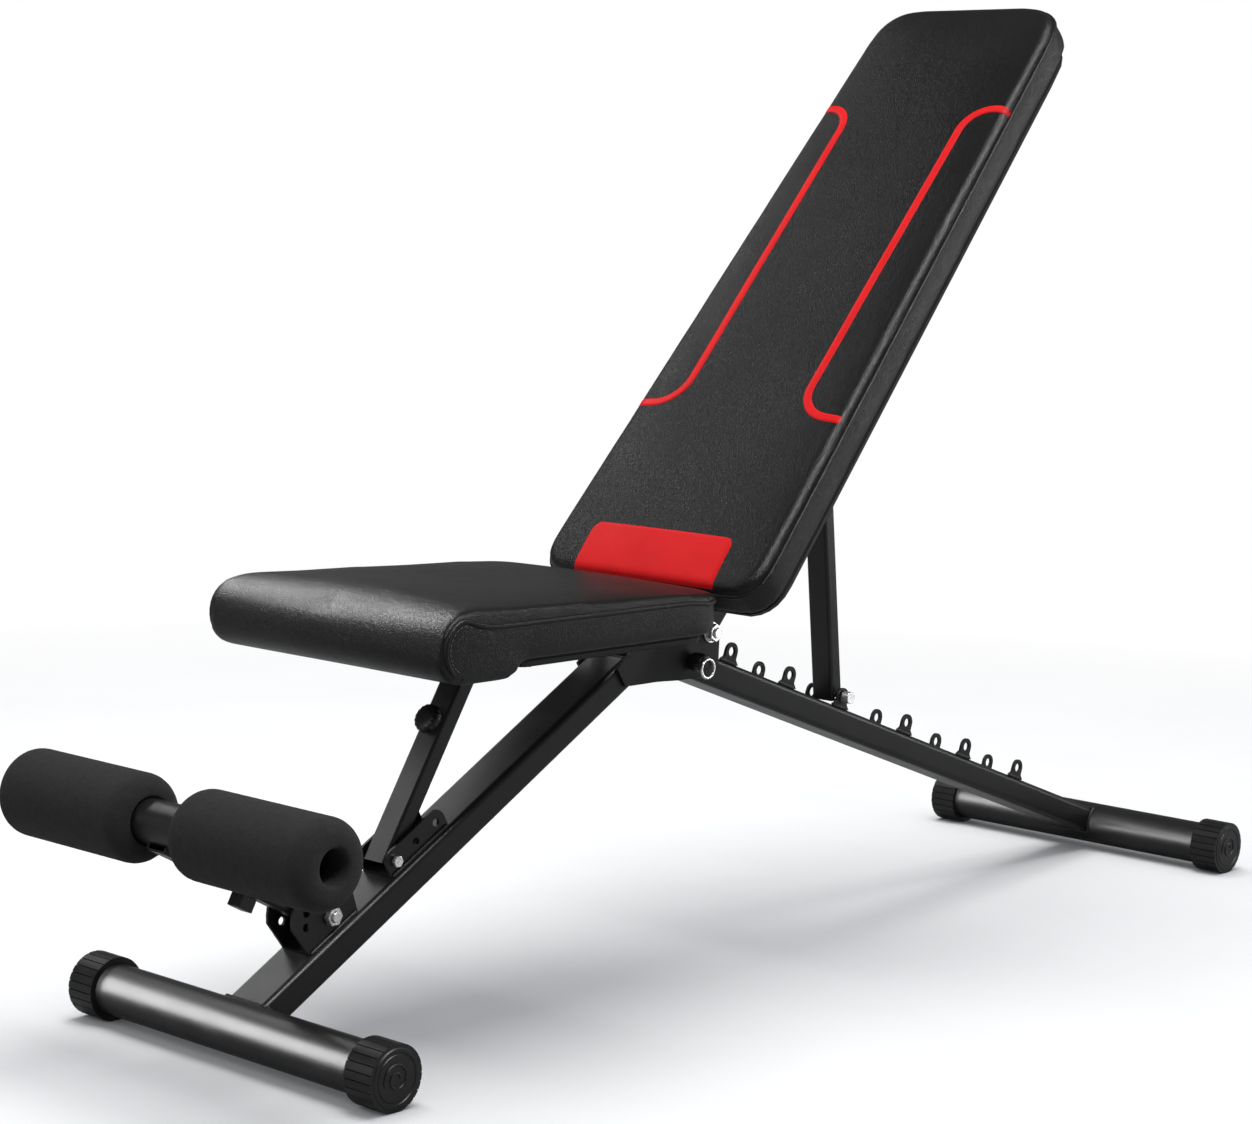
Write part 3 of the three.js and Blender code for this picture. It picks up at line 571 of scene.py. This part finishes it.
def back_seam(height_way, level):
    """The line where a ray slanting inwards and up or down meets the pad's rim."""
    outline = back_outline()
    path = []
    for index, point in enumerate(outline):
        out = outward(outline, index)
        way = Vector((out.x, out.y, height_way)).normalized()
        found = back_cast(Vector((point.x, point.y, level)) + way * 0.05, -way)
        if found:
            path.append(found[0] + way * 0.0006)
    return evened(path)


PIPING = 0.0024
points, faces = pipe(back_seam(1.0, BACK_NEAR_PLANE + 0.036), PIPING, closed=True)
piece("backrest_piping", points, faces, LEATHER, "backrest", BACK)

# ---- Red stripes and the plain badge on the backrest -------------------------------------------------


def drape(cast, plan, lift, towards=Vector((0, 0, -1)), away=0.3):
    """Points of a plan laid on a cushion, each raised by its own lift."""
    laid = []
    for (x, y), up in zip(plan, lift):
        found = cast(Vector((x, y, away)), towards)
        point = found[0] if found else Vector((x, y, 0))
        laid.append(point + Vector((0, 0, up)))
    return laid


STRIPE = 0.0104
STRIPE_Y = 0.080
STRIPE_TOP, STRIPE_LOW = 0.6385, 0.2135
STRIPE_R_TOP, STRIPE_R_LOW = 0.034, 0.036


def stripe_path(sign):
    """The middle of a stripe: in from the pad's edge, round a bend, down the pad, and out the same way."""
    edge = 0.0035
    taper = (BACK_HALF[0] - BACK_HALF[1]) / (BACK_TO - BACK_FROM)

    def half_at(s):
        return BACK_HALF[0] - taper * (s - BACK_FROM) - edge

    path = []
    for s, radius, turn in ((STRIPE_TOP, STRIPE_R_TOP, -1), (STRIPE_LOW, STRIPE_R_LOW, 1)):
        start = Vector((s, half_at(s)))
        bend = Vector((s + turn * radius, STRIPE_Y + radius))
        arc = [
            bend + Vector((-turn * math.cos(a), -math.sin(a))) * radius
            for a in (math.pi / 2 * i / 12 for i in range(13))
        ]
        line = [start.lerp(arc[0], t / 5) for t in range(5)]
        part = line + arc
        path += part if turn < 0 else part[::-1]
    half = len(path) // 2
    between = [path[half - 1].lerp(path[half], t / 60) for t in range(1, 60)]
    path = path[:half] + between + path[half:]
    return [Vector((p.x, sign * p.y)) for p in path]


def stripe(name, sign):
    """A thin raised band of red vinyl laid along its path."""
    path = stripe_path(sign)
    across = [(-0.5, -0.0006), (-0.44, 0.00035), (-0.2, 0.0005), (0.2, 0.0005), (0.44, 0.00035), (0.5, -0.0006)]
    plan, lift = [], []
    for i, here in enumerate(path):
        run = (path[min(i + 1, len(path) - 1)] - path[max(i - 1, 0)]).normalized()
        side_way = Vector((-run.y, run.x))
        for share, up in across:
            plan.append(here + side_way * share * STRIPE)
            lift.append(up)
    points = drape(back_cast, plan, lift)
    faces = grid_faces(len(path), len(across))
    if sign < 0:
        faces = [face[::-1] for face in faces]
    piece(name, points, faces, RED, "backrest", BACK)


for end, sign in (("near", -1), ("far", 1)):
    stripe(f"backrest_stripe_{end}", sign)

BADGE_LOW, BADGE_TOP, BADGE_HALF, BADGE_R = -0.004, 0.056, 0.095, 0.013


def badge():
    """The plain red patch at the pad's foot, with two rounded upper corners."""
    rows, columns = 26, 60
    plan, lift = [], []
    for i in range(rows):
        s = BADGE_LOW + (BADGE_TOP - BADGE_LOW) * i / (rows - 1)
        over = max(0.0, s - (BADGE_TOP - BADGE_R))
        half = BADGE_HALF - (BADGE_R - math.sqrt(max(BADGE_R**2 - over**2, 0.0)))
        for j in range(columns):
            plan.append(Vector((s, half * (2 * j / (columns - 1) - 1))))
            rim = i in (0, rows - 1) or j in (0, columns - 1)
            lift.append(-0.0006 if rim else 0.0006)
    points = drape(back_cast, plan, lift)
    piece("backrest_badge", points, grid_faces(rows, columns), RED, "backrest", BACK)


badge()

# ---- Seat piping -------------------------------------------------------------------------------------
SEAT_HALF = 0.160
SEAT_FRONT, SEAT_REAR = 0.088, 0.476


def seat_seam():
    """The top seam: up one end of the front roll, back along the side, round the rear and forward again."""
    arc_x, arc_z, arc_r = SEAT_FRONT + 0.034, 0.376, 0.030
    one_side = []
    for i in range(15):
        turn = math.radians(-100 - 170 * i / 14)
        way = Vector((math.cos(turn), -1.15, math.sin(turn)))
        spot = Vector((arc_x + arc_r * math.cos(turn), -SEAT_HALF, arc_z + arc_r * math.sin(turn)))
        one_side.append((spot, way))
    for i in range(1, 26):
        x = arc_x + (SEAT_REAR - 0.045 - arc_x) * i / 25
        one_side.append((Vector((x, -SEAT_HALF, 0.395)), Vector((0, -1, 1))))
    for i in range(1, 12):
        turn = math.pi / 2 * i / 12
        way = Vector((math.sin(turn), -math.cos(turn), 1))
        spot = Vector((SEAT_REAR - 0.045, -SEAT_HALF + 0.045, 0.392)) + Vector((way.x, way.y, 0)) * 0.045
        one_side.append((spot, way))
    other = [(Vector((p.x, -p.y, p.z)), Vector((w.x, -w.y, w.z))) for p, w in one_side][::-1]
    rear = [(Vector((SEAT_REAR, -0.115 + 0.23 * i / 12, 0.392)), Vector((1, 0, 1))) for i in range(13)]
    path = []
    for spot, way in one_side + rear + other:
        way = way.normalized()
        found = seat_cast(spot + way * 0.06, -way)
        if found:
            path.append(found[0] + way * 0.0004)
    kept = evened(path)
    kept[0], kept[-1] = path[0], path[-1]
    return kept


seam = seat_seam()
points, faces = pipe(seam, PIPING)
piece("seat_piping_top", points, faces, LEATHER, "seat", UPRIGHT)


def stitches(name, path, pitch, shift):
    """A row of short thread stitches beside a seam."""
    parts = []
    travelled, due = 0.0, pitch
    for i in range(1, len(path) - 1):
        run = path[i] - path[i - 1]
        travelled += run.length
        if travelled < due:
            continue
        due += pitch
        spot = path[i] + shift(path[i])
        out = Vector((0, math.copysign(1, spot.y), 0))
        found = seat_cast(spot + out * 0.03, -out)
        if found:
            middle = found[0] + out * 0.0002
            half = run.normalized() * 0.0017
            parts.append(pipe([middle - half, middle, middle + half], 0.0005, 6))
    points, faces = join(parts)
    piece(name, points, faces, THREAD, "seat", UPRIGHT)


def below_seam(at):
    """Towards the inside of the seat's side panel."""
    inside = Vector((max(SEAT_FRONT + 0.034, min(at.x, SEAT_REAR - 0.05)), at.y, 0.372))
    return (inside - at).normalized() * 0.0045


STITCH_TO = SEAT_FRONT + 0.075
stitched = [p for p in seam if abs(p.y) > SEAT_HALF - 0.012 and p.x < STITCH_TO]
for end, sign in (("near", -1), ("far", 1)):
    stitches(f"seat_stitches_{end}", [p for p in stitched if p.y * sign > 0], 0.0052, below_seam)

# ---- Foam rollers ------------------------------------------------------------------------------------


FOAM_SLIP = 0.005


def foam(name, node, body):
    """A soft sleeve; both have slipped a little along their tube, towards the near side."""
    low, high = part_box(node)
    middle = (low + high) / 2
    side = 1 if middle.y > 0 else -1
    inner, outer = (low.y, high.y) if side > 0 else (-high.y, -low.y)
    inner, outer = inner - side * FOAM_SLIP, outer - side * FOAM_SLIP
    radius, mouth, bore, tube_end = 0.040, 0.0156, 0.0204, 0.185
    soft = 0.017
    profile = [(bore, inner + 0.002), (bore + 0.002, inner)]
    for at, start in ((inner + soft, -90), (outer - soft, 0)):
        for i in range(9):
            turn = math.radians(start + 90 * i / 8)
            profile.append((radius - soft + soft * math.cos(turn), at + soft * math.sin(turn)))
    profile += [(mouth + 0.0035, outer), (mouth + 0.001, outer - 0.0008), (mouth, outer - 0.003)]
    profile += [(mouth, tube_end), (bore, tube_end)]
    finer = []
    for (r0, h0), (r1, h1) in zip(profile, profile[1:]):
        count = max(1, int(math.hypot(r1 - r0, h1 - h0) / 0.006))
        finer += [(r0 + (r1 - r0) * t / count, h0 + (h1 - h0) * t / count) for t in range(count)]
    finer.append(profile[-1])
    points, faces = lathe(finer, 72, facing(ROLLER, (0, side, 0)), closed=True)
    made = piece(name, points, faces, FOAM, body)
    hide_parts(node)
    crease_edges(made, 60)


foam("foam_sleeve_near", "foam_roller_near", "foam_near")
foam("foam_sleeve_far", "foam_roller_far", "foam_far")

# ---- Foot caps: a face with rings and a spiral groove ------------------------------------------------


def cap_face(node, body):
    """A disc with two rings and a spiral groove on a cap's outer end."""
    low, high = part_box(node)
    side = 1 if low.y > 0 else -1
    face_y = high.y if side > 0 else low.y
    axis_z = high.z - 0.030
    at = Vector(((low.x + high.x) / 2, face_y, axis_z))
    ring = [(0.4, 0.9), (20.6, 0.9), (21.2, 0.2), (22.2, 0.2), (22.8, 1.0), (25.6, 0.9)]
    profile = in_mm(ring + [(27.0, -0.4), (27.0, -1.5), (0.4, -1.5)])
    matrix = facing(at, (0, side, 0))
    disc = lathe(profile[::-1], 64, matrix)
    spiral = []
    for i in range(60):
        turn = math.radians(9.5 * i)
        reach = (3.5 + 0.19 * i) * MM
        spiral.append(matrix @ Vector((reach * math.cos(turn), reach * math.sin(turn), 0.0009)))
    points, faces = join([disc, pipe(spiral, 0.0011, 8)])
    made = piece(node + "_face", points, faces, PLASTIC, body)
    crease_edges(made, 40)


for node in ("front_foot_cap_near", "front_foot_cap_far"):
    cap_face(node, "front_frame")
for node in ("rear_foot_cap_near", "rear_foot_cap_far"):
    cap_face(node, "rear_frame")

# ---- Hardware ----------------------------------------------------------------------------------------


def hex_nut(at, direction, across, height, hole):
    """A hexagon nut with chamfered corners."""
    corner = across / math.sqrt(3)
    profile = [(hole, 0), (corner * 0.9, 0), (corner, height * 0.12), (corner, height * 0.88)]
    profile += [(corner * 0.9, height), (hole, height)]
    return lathe(profile, 6, facing(at, direction), closed=True)


def button_head(at, direction, radius):
    """A domed screw head with a round socket."""
    steps = [math.pi / 2 * i / 7 for i in range(8)]
    rise = [a for a in steps if math.cos(a) > 0.42]
    dome = [(radius * math.cos(a) * 0.999 + 0.00001, radius * 0.55 * math.sin(a)) for a in rise]
    profile = [(radius * 0.3, -0.0004), (radius, -0.0004)] + dome
    profile += [(radius * 0.4, radius * 0.48), (radius * 0.36, radius * 0.14), (radius * 0.05, radius * 0.14)]
    return lathe(profile, 24, facing(at, direction))


def hardware(name, parts, body):
    """Zinc nuts or screws joined into one piece."""
    points, faces = join(parts)
    made = piece(name, points, faces, ZINC, body)
    crease_edges(made, 32)
    edge = made.modifiers.new("edge", "BEVEL")
    edge.width = 0.0003
    edge.segments = 2
    edge.limit_method = "ANGLE"
    edge.angle_limit = math.radians(32)


NUT_ACROSS, NUT_HOLE = 0.013, 0.0043
SEAT_PLATE_FACE = 0.0288       # the hinge plate's outer face at the seat pivot, from the mid-plane
at = Vector((SEAT_PIVOT.x, SEAT_PLATE_FACE, SEAT_PIVOT.z))
hardware("seat_pivot_nut", [hex_nut(at, (0, 1, 0), NUT_ACROSS, 0.006, NUT_HOLE)], "front_frame")
prop_axis = joint_at("prop_swing")
at = Vector((prop_axis.x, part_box("prop_top_bracket")[1].y + 0.0003, prop_axis.z))
hardware("prop_top_nut", [hex_nut(at, (0, 1, 0), NUT_ACROSS, 0.0055, NUT_HOLE)], "backrest")

BRACKET_FACE = 0.0344          # the brackets' lower face, from the line of the backrest's pivot
BACK_SCREW_R, SEAT_SCREW_R = 0.0065, 0.006
behind = BACK.to_3x3() @ Vector((0, 0, -1))


def back_screws(name, places):
    """Screws through a bracket into the backrest's board, at places along and across the pad."""
    spots = [BACK @ Vector((along, y, BRACKET_FACE)) for along, y in places]
    hardware(name, [button_head(spot, behind, BACK_SCREW_R) for spot in spots], "backrest")


back_screws("backrest_screws", [(along, y) for along in (0.060, 0.160) for y in (-0.016, 0.016)])
prop_along = (BACK.inverted() @ prop_axis).x
back_screws("prop_bracket_screws", [(prop_along + shift, 0) for shift in (-0.032, 0.032)])
rail_low, rail_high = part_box("seat_rail_near")
spots = [
    Vector((rail_low.x + along, side * 0.0425, rail_high.z - 0.003))
    for along in (0.038, 0.163)
    for side in (-1, 1)
]
hardware("seat_screws", [button_head(spot, (0, 0, -1), SEAT_SCREW_R) for spot in spots], "seat")

# ---- Knob grips --------------------------------------------------------------------------------------


def grip(name, body, direction, at, radius, length):
    """A fluted plastic sleeve round a knob."""
    profile = [(radius * 0.3, 0), (radius - 0.0016, 0), (radius, 0.0018), (radius, length - 0.003)]
    profile += [(radius - 0.0009, length - 0.001), (radius - 0.003, length), (radius * 0.3, length + 0.0003)]
    points, faces = lathe(profile, 96, facing(at, direction), flutes=16, depth=0.045)
    made = piece(name, points, faces, PLASTIC, body)
    crease_edges(made, 50)


strut_out = STRUT.to_3x3() @ Vector((0, 0, 1))
knob_at = STRUT @ Vector((0.135, 0, 0.0072 + 0.0044))
grip("seat_knob_grip", "seat_lock", strut_out, knob_at, 0.0141, 0.0092)
fold_low, fold_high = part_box("fold_knob")
fold_at = Vector(((fold_low.x + fold_high.x) / 2, fold_low.y + 0.0172, (fold_low.z + fold_high.z) / 2))
grip("fold_knob_grip", "fold_lock", (0, -1, 0), fold_at, 0.0097, 0.0178)

# ---- Welds -------------------------------------------------------------------------------------------
BEAD = 0.0019


def saddle_loop(matrix):
    """Round a 50 x 30 tube where it meets the 48 mm foot tube."""
    half_y, half_z, radius = 0.0252, 0.0152, 0.0243
    reach = math.asin(half_z / radius)
    path = []
    for sign in (1, -1):
        for i in range(13):
            turn = sign * (reach - 2 * reach * i / 12)
            path.append(Vector((radius * math.cos(turn), sign * half_y, radius * math.sin(turn))))
        for i in range(1, 20):
            y = sign * (half_y - 2 * half_y * i / 20)
            path.append(Vector((radius * math.cos(reach), y, -sign * half_z)))
    return [matrix @ p for p in path]


def bead(matrix, start, end):
    """A straight weld bead between two points of a frame."""
    a, b = Vector(start), Vector(end)
    count = max(8, int((b - a).length / 0.0016))
    return pipe([matrix @ a.lerp(b, i / count) for i in range(count + 1)], BEAD, 8, ripple=0.14)


def welds(name, parts, body):
    points, faces = join(parts)
    piece(name, points, faces, WELD, body)


def bracket_beads(x0, x1, half, height):
    return [bead(LEG, (x0, side * half, height), (x1, side * half, height)) for side in (-1, 1)]


TOP_FACE = 0.0156
front_welds = [pipe(saddle_loop(LEG), BEAD, 8, closed=True, ripple=0.12)]
for start, end, half_width in ((0.089, 0.151, 0.0187), (0.202, 0.280, 0.0197)):    # roller and strut bracket
    front_welds += bracket_beads(start, end, half_width, TOP_FACE + 0.0006)
welds("front_frame_welds", front_welds, "front_frame")

rear_welds = [pipe(saddle_loop(BEAM), BEAD, 8, closed=True, ripple=0.12)]
beam_inverse = BEAM.inverted()
LUG_HALF_LENGTH, LUG_Y = 0.014, 0.0225
for index in range(1, 7):
    station = (beam_inverse @ centre(f"lug_{index}_near")).x
    for y in (-LUG_Y, LUG_Y):
        ends = [(station + way * LUG_HALF_LENGTH, y, TOP_FACE) for way in (-1, 1)]
        rear_welds.append(bead(BEAM, *ends))
welds("rear_frame_welds", rear_welds, "rear_frame")

# ---- Backs of the boards: a turned-in hem with staples -----------------------------------------------
BOARD_BACK = 0.0377


def hem(name, outline, width, level, down, matrix, body):
    """A strip of leather turned in over the board's back, held by staples."""
    rows = []
    count = len(outline)
    for share, drop in ((-0.05, -0.0045), (0.0, 0.0008), (0.3, 0.0012), (0.85, 0.0009), (1.0, 0.0)):
        for index, point in enumerate(outline):
            wave = 1 + 0.10 * math.sin(index * 0.9) * (share > 0.5)
            inward = -outward(outline, index) * width * share * wave
            rows.append(Vector((point.x + inward.x, point.y + inward.y, level + down * drop)))
    faces = grid_faces(5, count, close_columns=True)
    if down < 0:
        faces = [face[::-1] for face in faces]
    piece(name, rows, faces, LEATHER, body, matrix)
    staples = []
    for index in range(0, count, 3):
        point, out = outline[index], outward(outline, index)
        run = Vector((-out.y, out.x))
        spot = point - out * width * 0.6
        ends = [spot + run * 0.005, spot - run * 0.005]
        path = [Vector((ends[0].x, ends[0].y, level)), Vector((ends[0].x, ends[0].y, level + down * 0.0017)),
                Vector((ends[1].x, ends[1].y, level + down * 0.0017)), Vector((ends[1].x, ends[1].y, level))]
        staples.append(pipe(path, 0.0005, 6))
    points, faces = join(staples)
    piece(name.replace("hem", "staples"), points, faces, ZINC, body, matrix)


hem("backrest_hem", back_outline(inset=0.0095, fine=6), 0.026, BOARD_BACK, -1, BACK, "backrest")

seat_low, seat_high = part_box("seat_board")


def board_outline():
    """Round the seat's board, which has two large corners at the rear."""
    x0, x1 = seat_low.x - FOOT_FRONT.x, seat_high.x - FOOT_FRONT.x
    half = seat_high.y
    radii = (0.008, 0.034, 0.034, 0.008)
    corners = [Vector((x0, -half)), Vector((x1, -half)), Vector((x1, half)), Vector((x0, half))]
    path = []
    for index, corner in enumerate(corners):
        before, after = corners[index - 1], corners[(index + 1) % 4]
        a = corner + (before - corner).normalized() * radii[index]
        b = corner + (after - corner).normalized() * radii[index]
        path += [a] + bezier(a, corner, b, 5)
        onward = after + (corner - after).normalized() * radii[(index + 1) % 4]
        path += [b.lerp(onward, t / 14) for t in range(1, 14)]
    return path


hem("seat_hem", board_outline(), 0.024, seat_low.z, -1, UPRIGHT, "seat")

# ---- Floor, light and camera -------------------------------------------------------------------------


def floor():
    """A pale floor that fades to white far out, and that looks darker to reflections than to the camera."""
    g = Graph("floor")
    speck = g.noise(4, 3)
    pale = g.mix(g.remap(speck, 0.3, 0.7, 0, 1), grey(0.90), grey(0.93))
    g.finish(pale, 0.9, g.bump(g.noise(900, 2), 0.05, 0.0005), Specular_IOR_Level=0.1)
    away = g.add("ShaderNodeVectorMath", {0: g.where}, operation="LENGTH").outputs["Value"]
    white = g.add("ShaderNodeEmission", {"Color": (1, 1, 1, 1), "Strength": 1.0}).outputs[0]
    dull = g.add("ShaderNodeBsdfDiffuse", {"Color": grey(0.35)}).outputs[0]
    faded = g.add("ShaderNodeMixShader", {0: g.remap(away, 1.2, 2.4, 0, 1)})
    g.put(faded.inputs[1], g.shader.outputs[0])
    g.put(faded.inputs[2], white)
    seen = g.add("ShaderNodeMixShader", {0: g.add("ShaderNodeLightPath").outputs["Is Camera Ray"]})
    g.put(seen.inputs[1], dull)
    g.put(seen.inputs[2], faded.outputs[0])
    g.put(g.tree.nodes["Material Output"].inputs["Surface"], seen.outputs[0])
    mesh = bpy.data.meshes.new("floor")
    half = 30.0
    corners = [(-half, -half, 0), (half, -half, 0), (half, half, 0), (-half, half, 0)]
    mesh.from_pydata(corners, [], [(0, 1, 2, 3)])
    mesh.materials.append(g.material)
    made = bpy.data.objects.new("floor", mesh)
    bpy.context.scene.collection.objects.link(made)


def area_light(name, at, target, size, power, size_y, glossy=True, diffuse=True):
    """A rectangular soft box; without glossy it draws no highlight, without diffuse it draws nothing else."""
    data = bpy.data.lights.new(name, "AREA")
    data.energy = power
    data.shape = "RECTANGLE"
    data.size = size
    data.size_y = size_y
    made = bpy.data.objects.new(name, data)
    made.location = at
    made.rotation_mode = "QUATERNION"
    made.rotation_quaternion = (Vector(target) - Vector(at)).to_track_quat("-Z", "Y")
    made.visible_glossy = glossy
    made.visible_diffuse = diffuse
    bpy.context.scene.collection.objects.link(made)
    return made


def only_on(name, shown, light, unshaded=False):
    """Keep a light to the given pieces; unshaded, nothing else takes it from them."""
    lit = bpy.data.collections.new(name)
    for piece_shown in shown:
        lit.objects.link(piece_shown)
    light.light_linking.receiver_collection = lit
    if unshaded:
        light.light_linking.blocker_collection = lit


def not_on(name, left_out, light):
    """Keep a light off one piece."""
    unlit = bpy.data.collections.new(name)
    unlit.objects.link(left_out)
    unlit.collection_objects[0].light_linking.link_state = "EXCLUDE"
    light.light_linking.receiver_collection = unlit


def studio():
    """A white room for the camera, with a weaker light of its own, and soft boxes that draw the highlights."""
    world = bpy.data.worlds.new("studio")
    world.use_nodes = True
    tree = world.node_tree
    lit = tree.nodes["Background"]
    lit.inputs["Strength"].default_value = 0.62
    lit.inputs["Color"].default_value = (0.94, 0.96, 1, 1)
    ray = tree.nodes.new("ShaderNodeLightPath")
    for ray_kind, strength in (("Is Glossy Ray", 0.14), ("Is Camera Ray", 1.0)):
        other = tree.nodes.new("ShaderNodeBackground")
        other.inputs["Color"].default_value = (1, 1, 1, 1)
        other.inputs["Strength"].default_value = strength
        both = tree.nodes.new("ShaderNodeMixShader")
        tree.links.new(ray.outputs[ray_kind], both.inputs[0])
        tree.links.new(lit.outputs[0], both.inputs[1])
        tree.links.new(other.outputs[0], both.inputs[2])
        lit = both
    tree.links.new(lit.outputs[0], tree.nodes["World Output"].inputs["Surface"])
    bpy.context.scene.world = world
    bpy.context.scene.view_settings.view_transform = "Standard"
    aim = (0.0, 0.0, 0.4)
    area_light("key", (0.0, 0.2, 3.4), (0.0, 0, 0), 2.4, 84, 2.4, glossy=False)
    high = area_light("high_strip", (-0.4, 2.6, 2.6), (-0.2, 0, 0.4), 2.4, 15, 0.4, diffuse=False)
    not_on("all_but_the_leg", NODES["front_leg"], high)
    area_light("near_strip", (-0.2, -1.75, 2.9), (0, 0, 0.4), 2.6, 110, 0.5, diffuse=False)
    area_light("left", (-2.9, 1.2, 1.3), aim, 0.5, 14, 1.8, diffuse=False)
    area_light("right", (2.6, -1.4, 0.9), aim, 0.4, 14, 1.6, diffuse=False)
    roll = area_light("roll_strip", (-0.5, 2.6, 2.5), (-0.5, 0, 0.4), 2.6, 70, 0.5, diffuse=False)
    only_on("seat_roll", [seat_pad], roll)
    panel = area_light("right_panel", (2.3, -2.2, 0.6), (0, 0, 0.3), 1.6, 55, 1.6, diffuse=False)
    parts = frame["record"]["subparts"]
    only_on("bright_metal", [NODES[part["node"]] for part in parts if part["material_slot"] == "zinc"], panel)
    low = area_light("low_strip", (-2.3, 2.5, 1.05), (-0.4, 0, 0.1), 3.4, 330, 2.0, diffuse=False)
    only_on("foot_tubes", [NODES["front_foot_tube"], NODES["rear_foot_tube"]], low, unshaded=True)
    sheen = area_light("under_seat_sheen", (-1.0, 2.6, 2.1), (-0.4, 0, 0.2), 4.0, 60, 2.4, diffuse=False)
    only_on("under_the_seat", [NODES["front_leg"], NODES["seat_strut_outer"]], sheen, unshaded=True)


def camera():
    """The photo's own view: the place, turn and lens that fit the bench's straight edges."""
    yaw, pitch, roll = (math.radians(a) for a in (47.906, -6.998, 1.587))
    ahead = Vector((math.sin(yaw) * math.cos(pitch), math.cos(yaw) * math.cos(pitch), math.sin(pitch)))
    right = Vector((math.cos(yaw), -math.sin(yaw), 0))
    up = right.cross(ahead)
    turned_right = right * math.cos(roll) + up * math.sin(roll)
    turned_up = up * math.cos(roll) - right * math.sin(roll)
    matrix = Matrix.Identity(4)
    for row in range(3):
        matrix[row][0] = turned_right[row]
        matrix[row][1] = turned_up[row]
        matrix[row][2] = -ahead[row]
    stand = Vector((-1.63465 + FOOT_FRONT.x, -1.92459, 0.76162))
    data = bpy.data.cameras.new("photo_view")
    data.lens = 83.62
    data.sensor_width = 36
    made = bpy.data.objects.new("photo_view", data)
    made.matrix_world = Matrix.Translation(stand) @ matrix
    bpy.context.scene.collection.objects.link(made)
    bpy.context.scene.camera = made


floor()
studio()
camera()
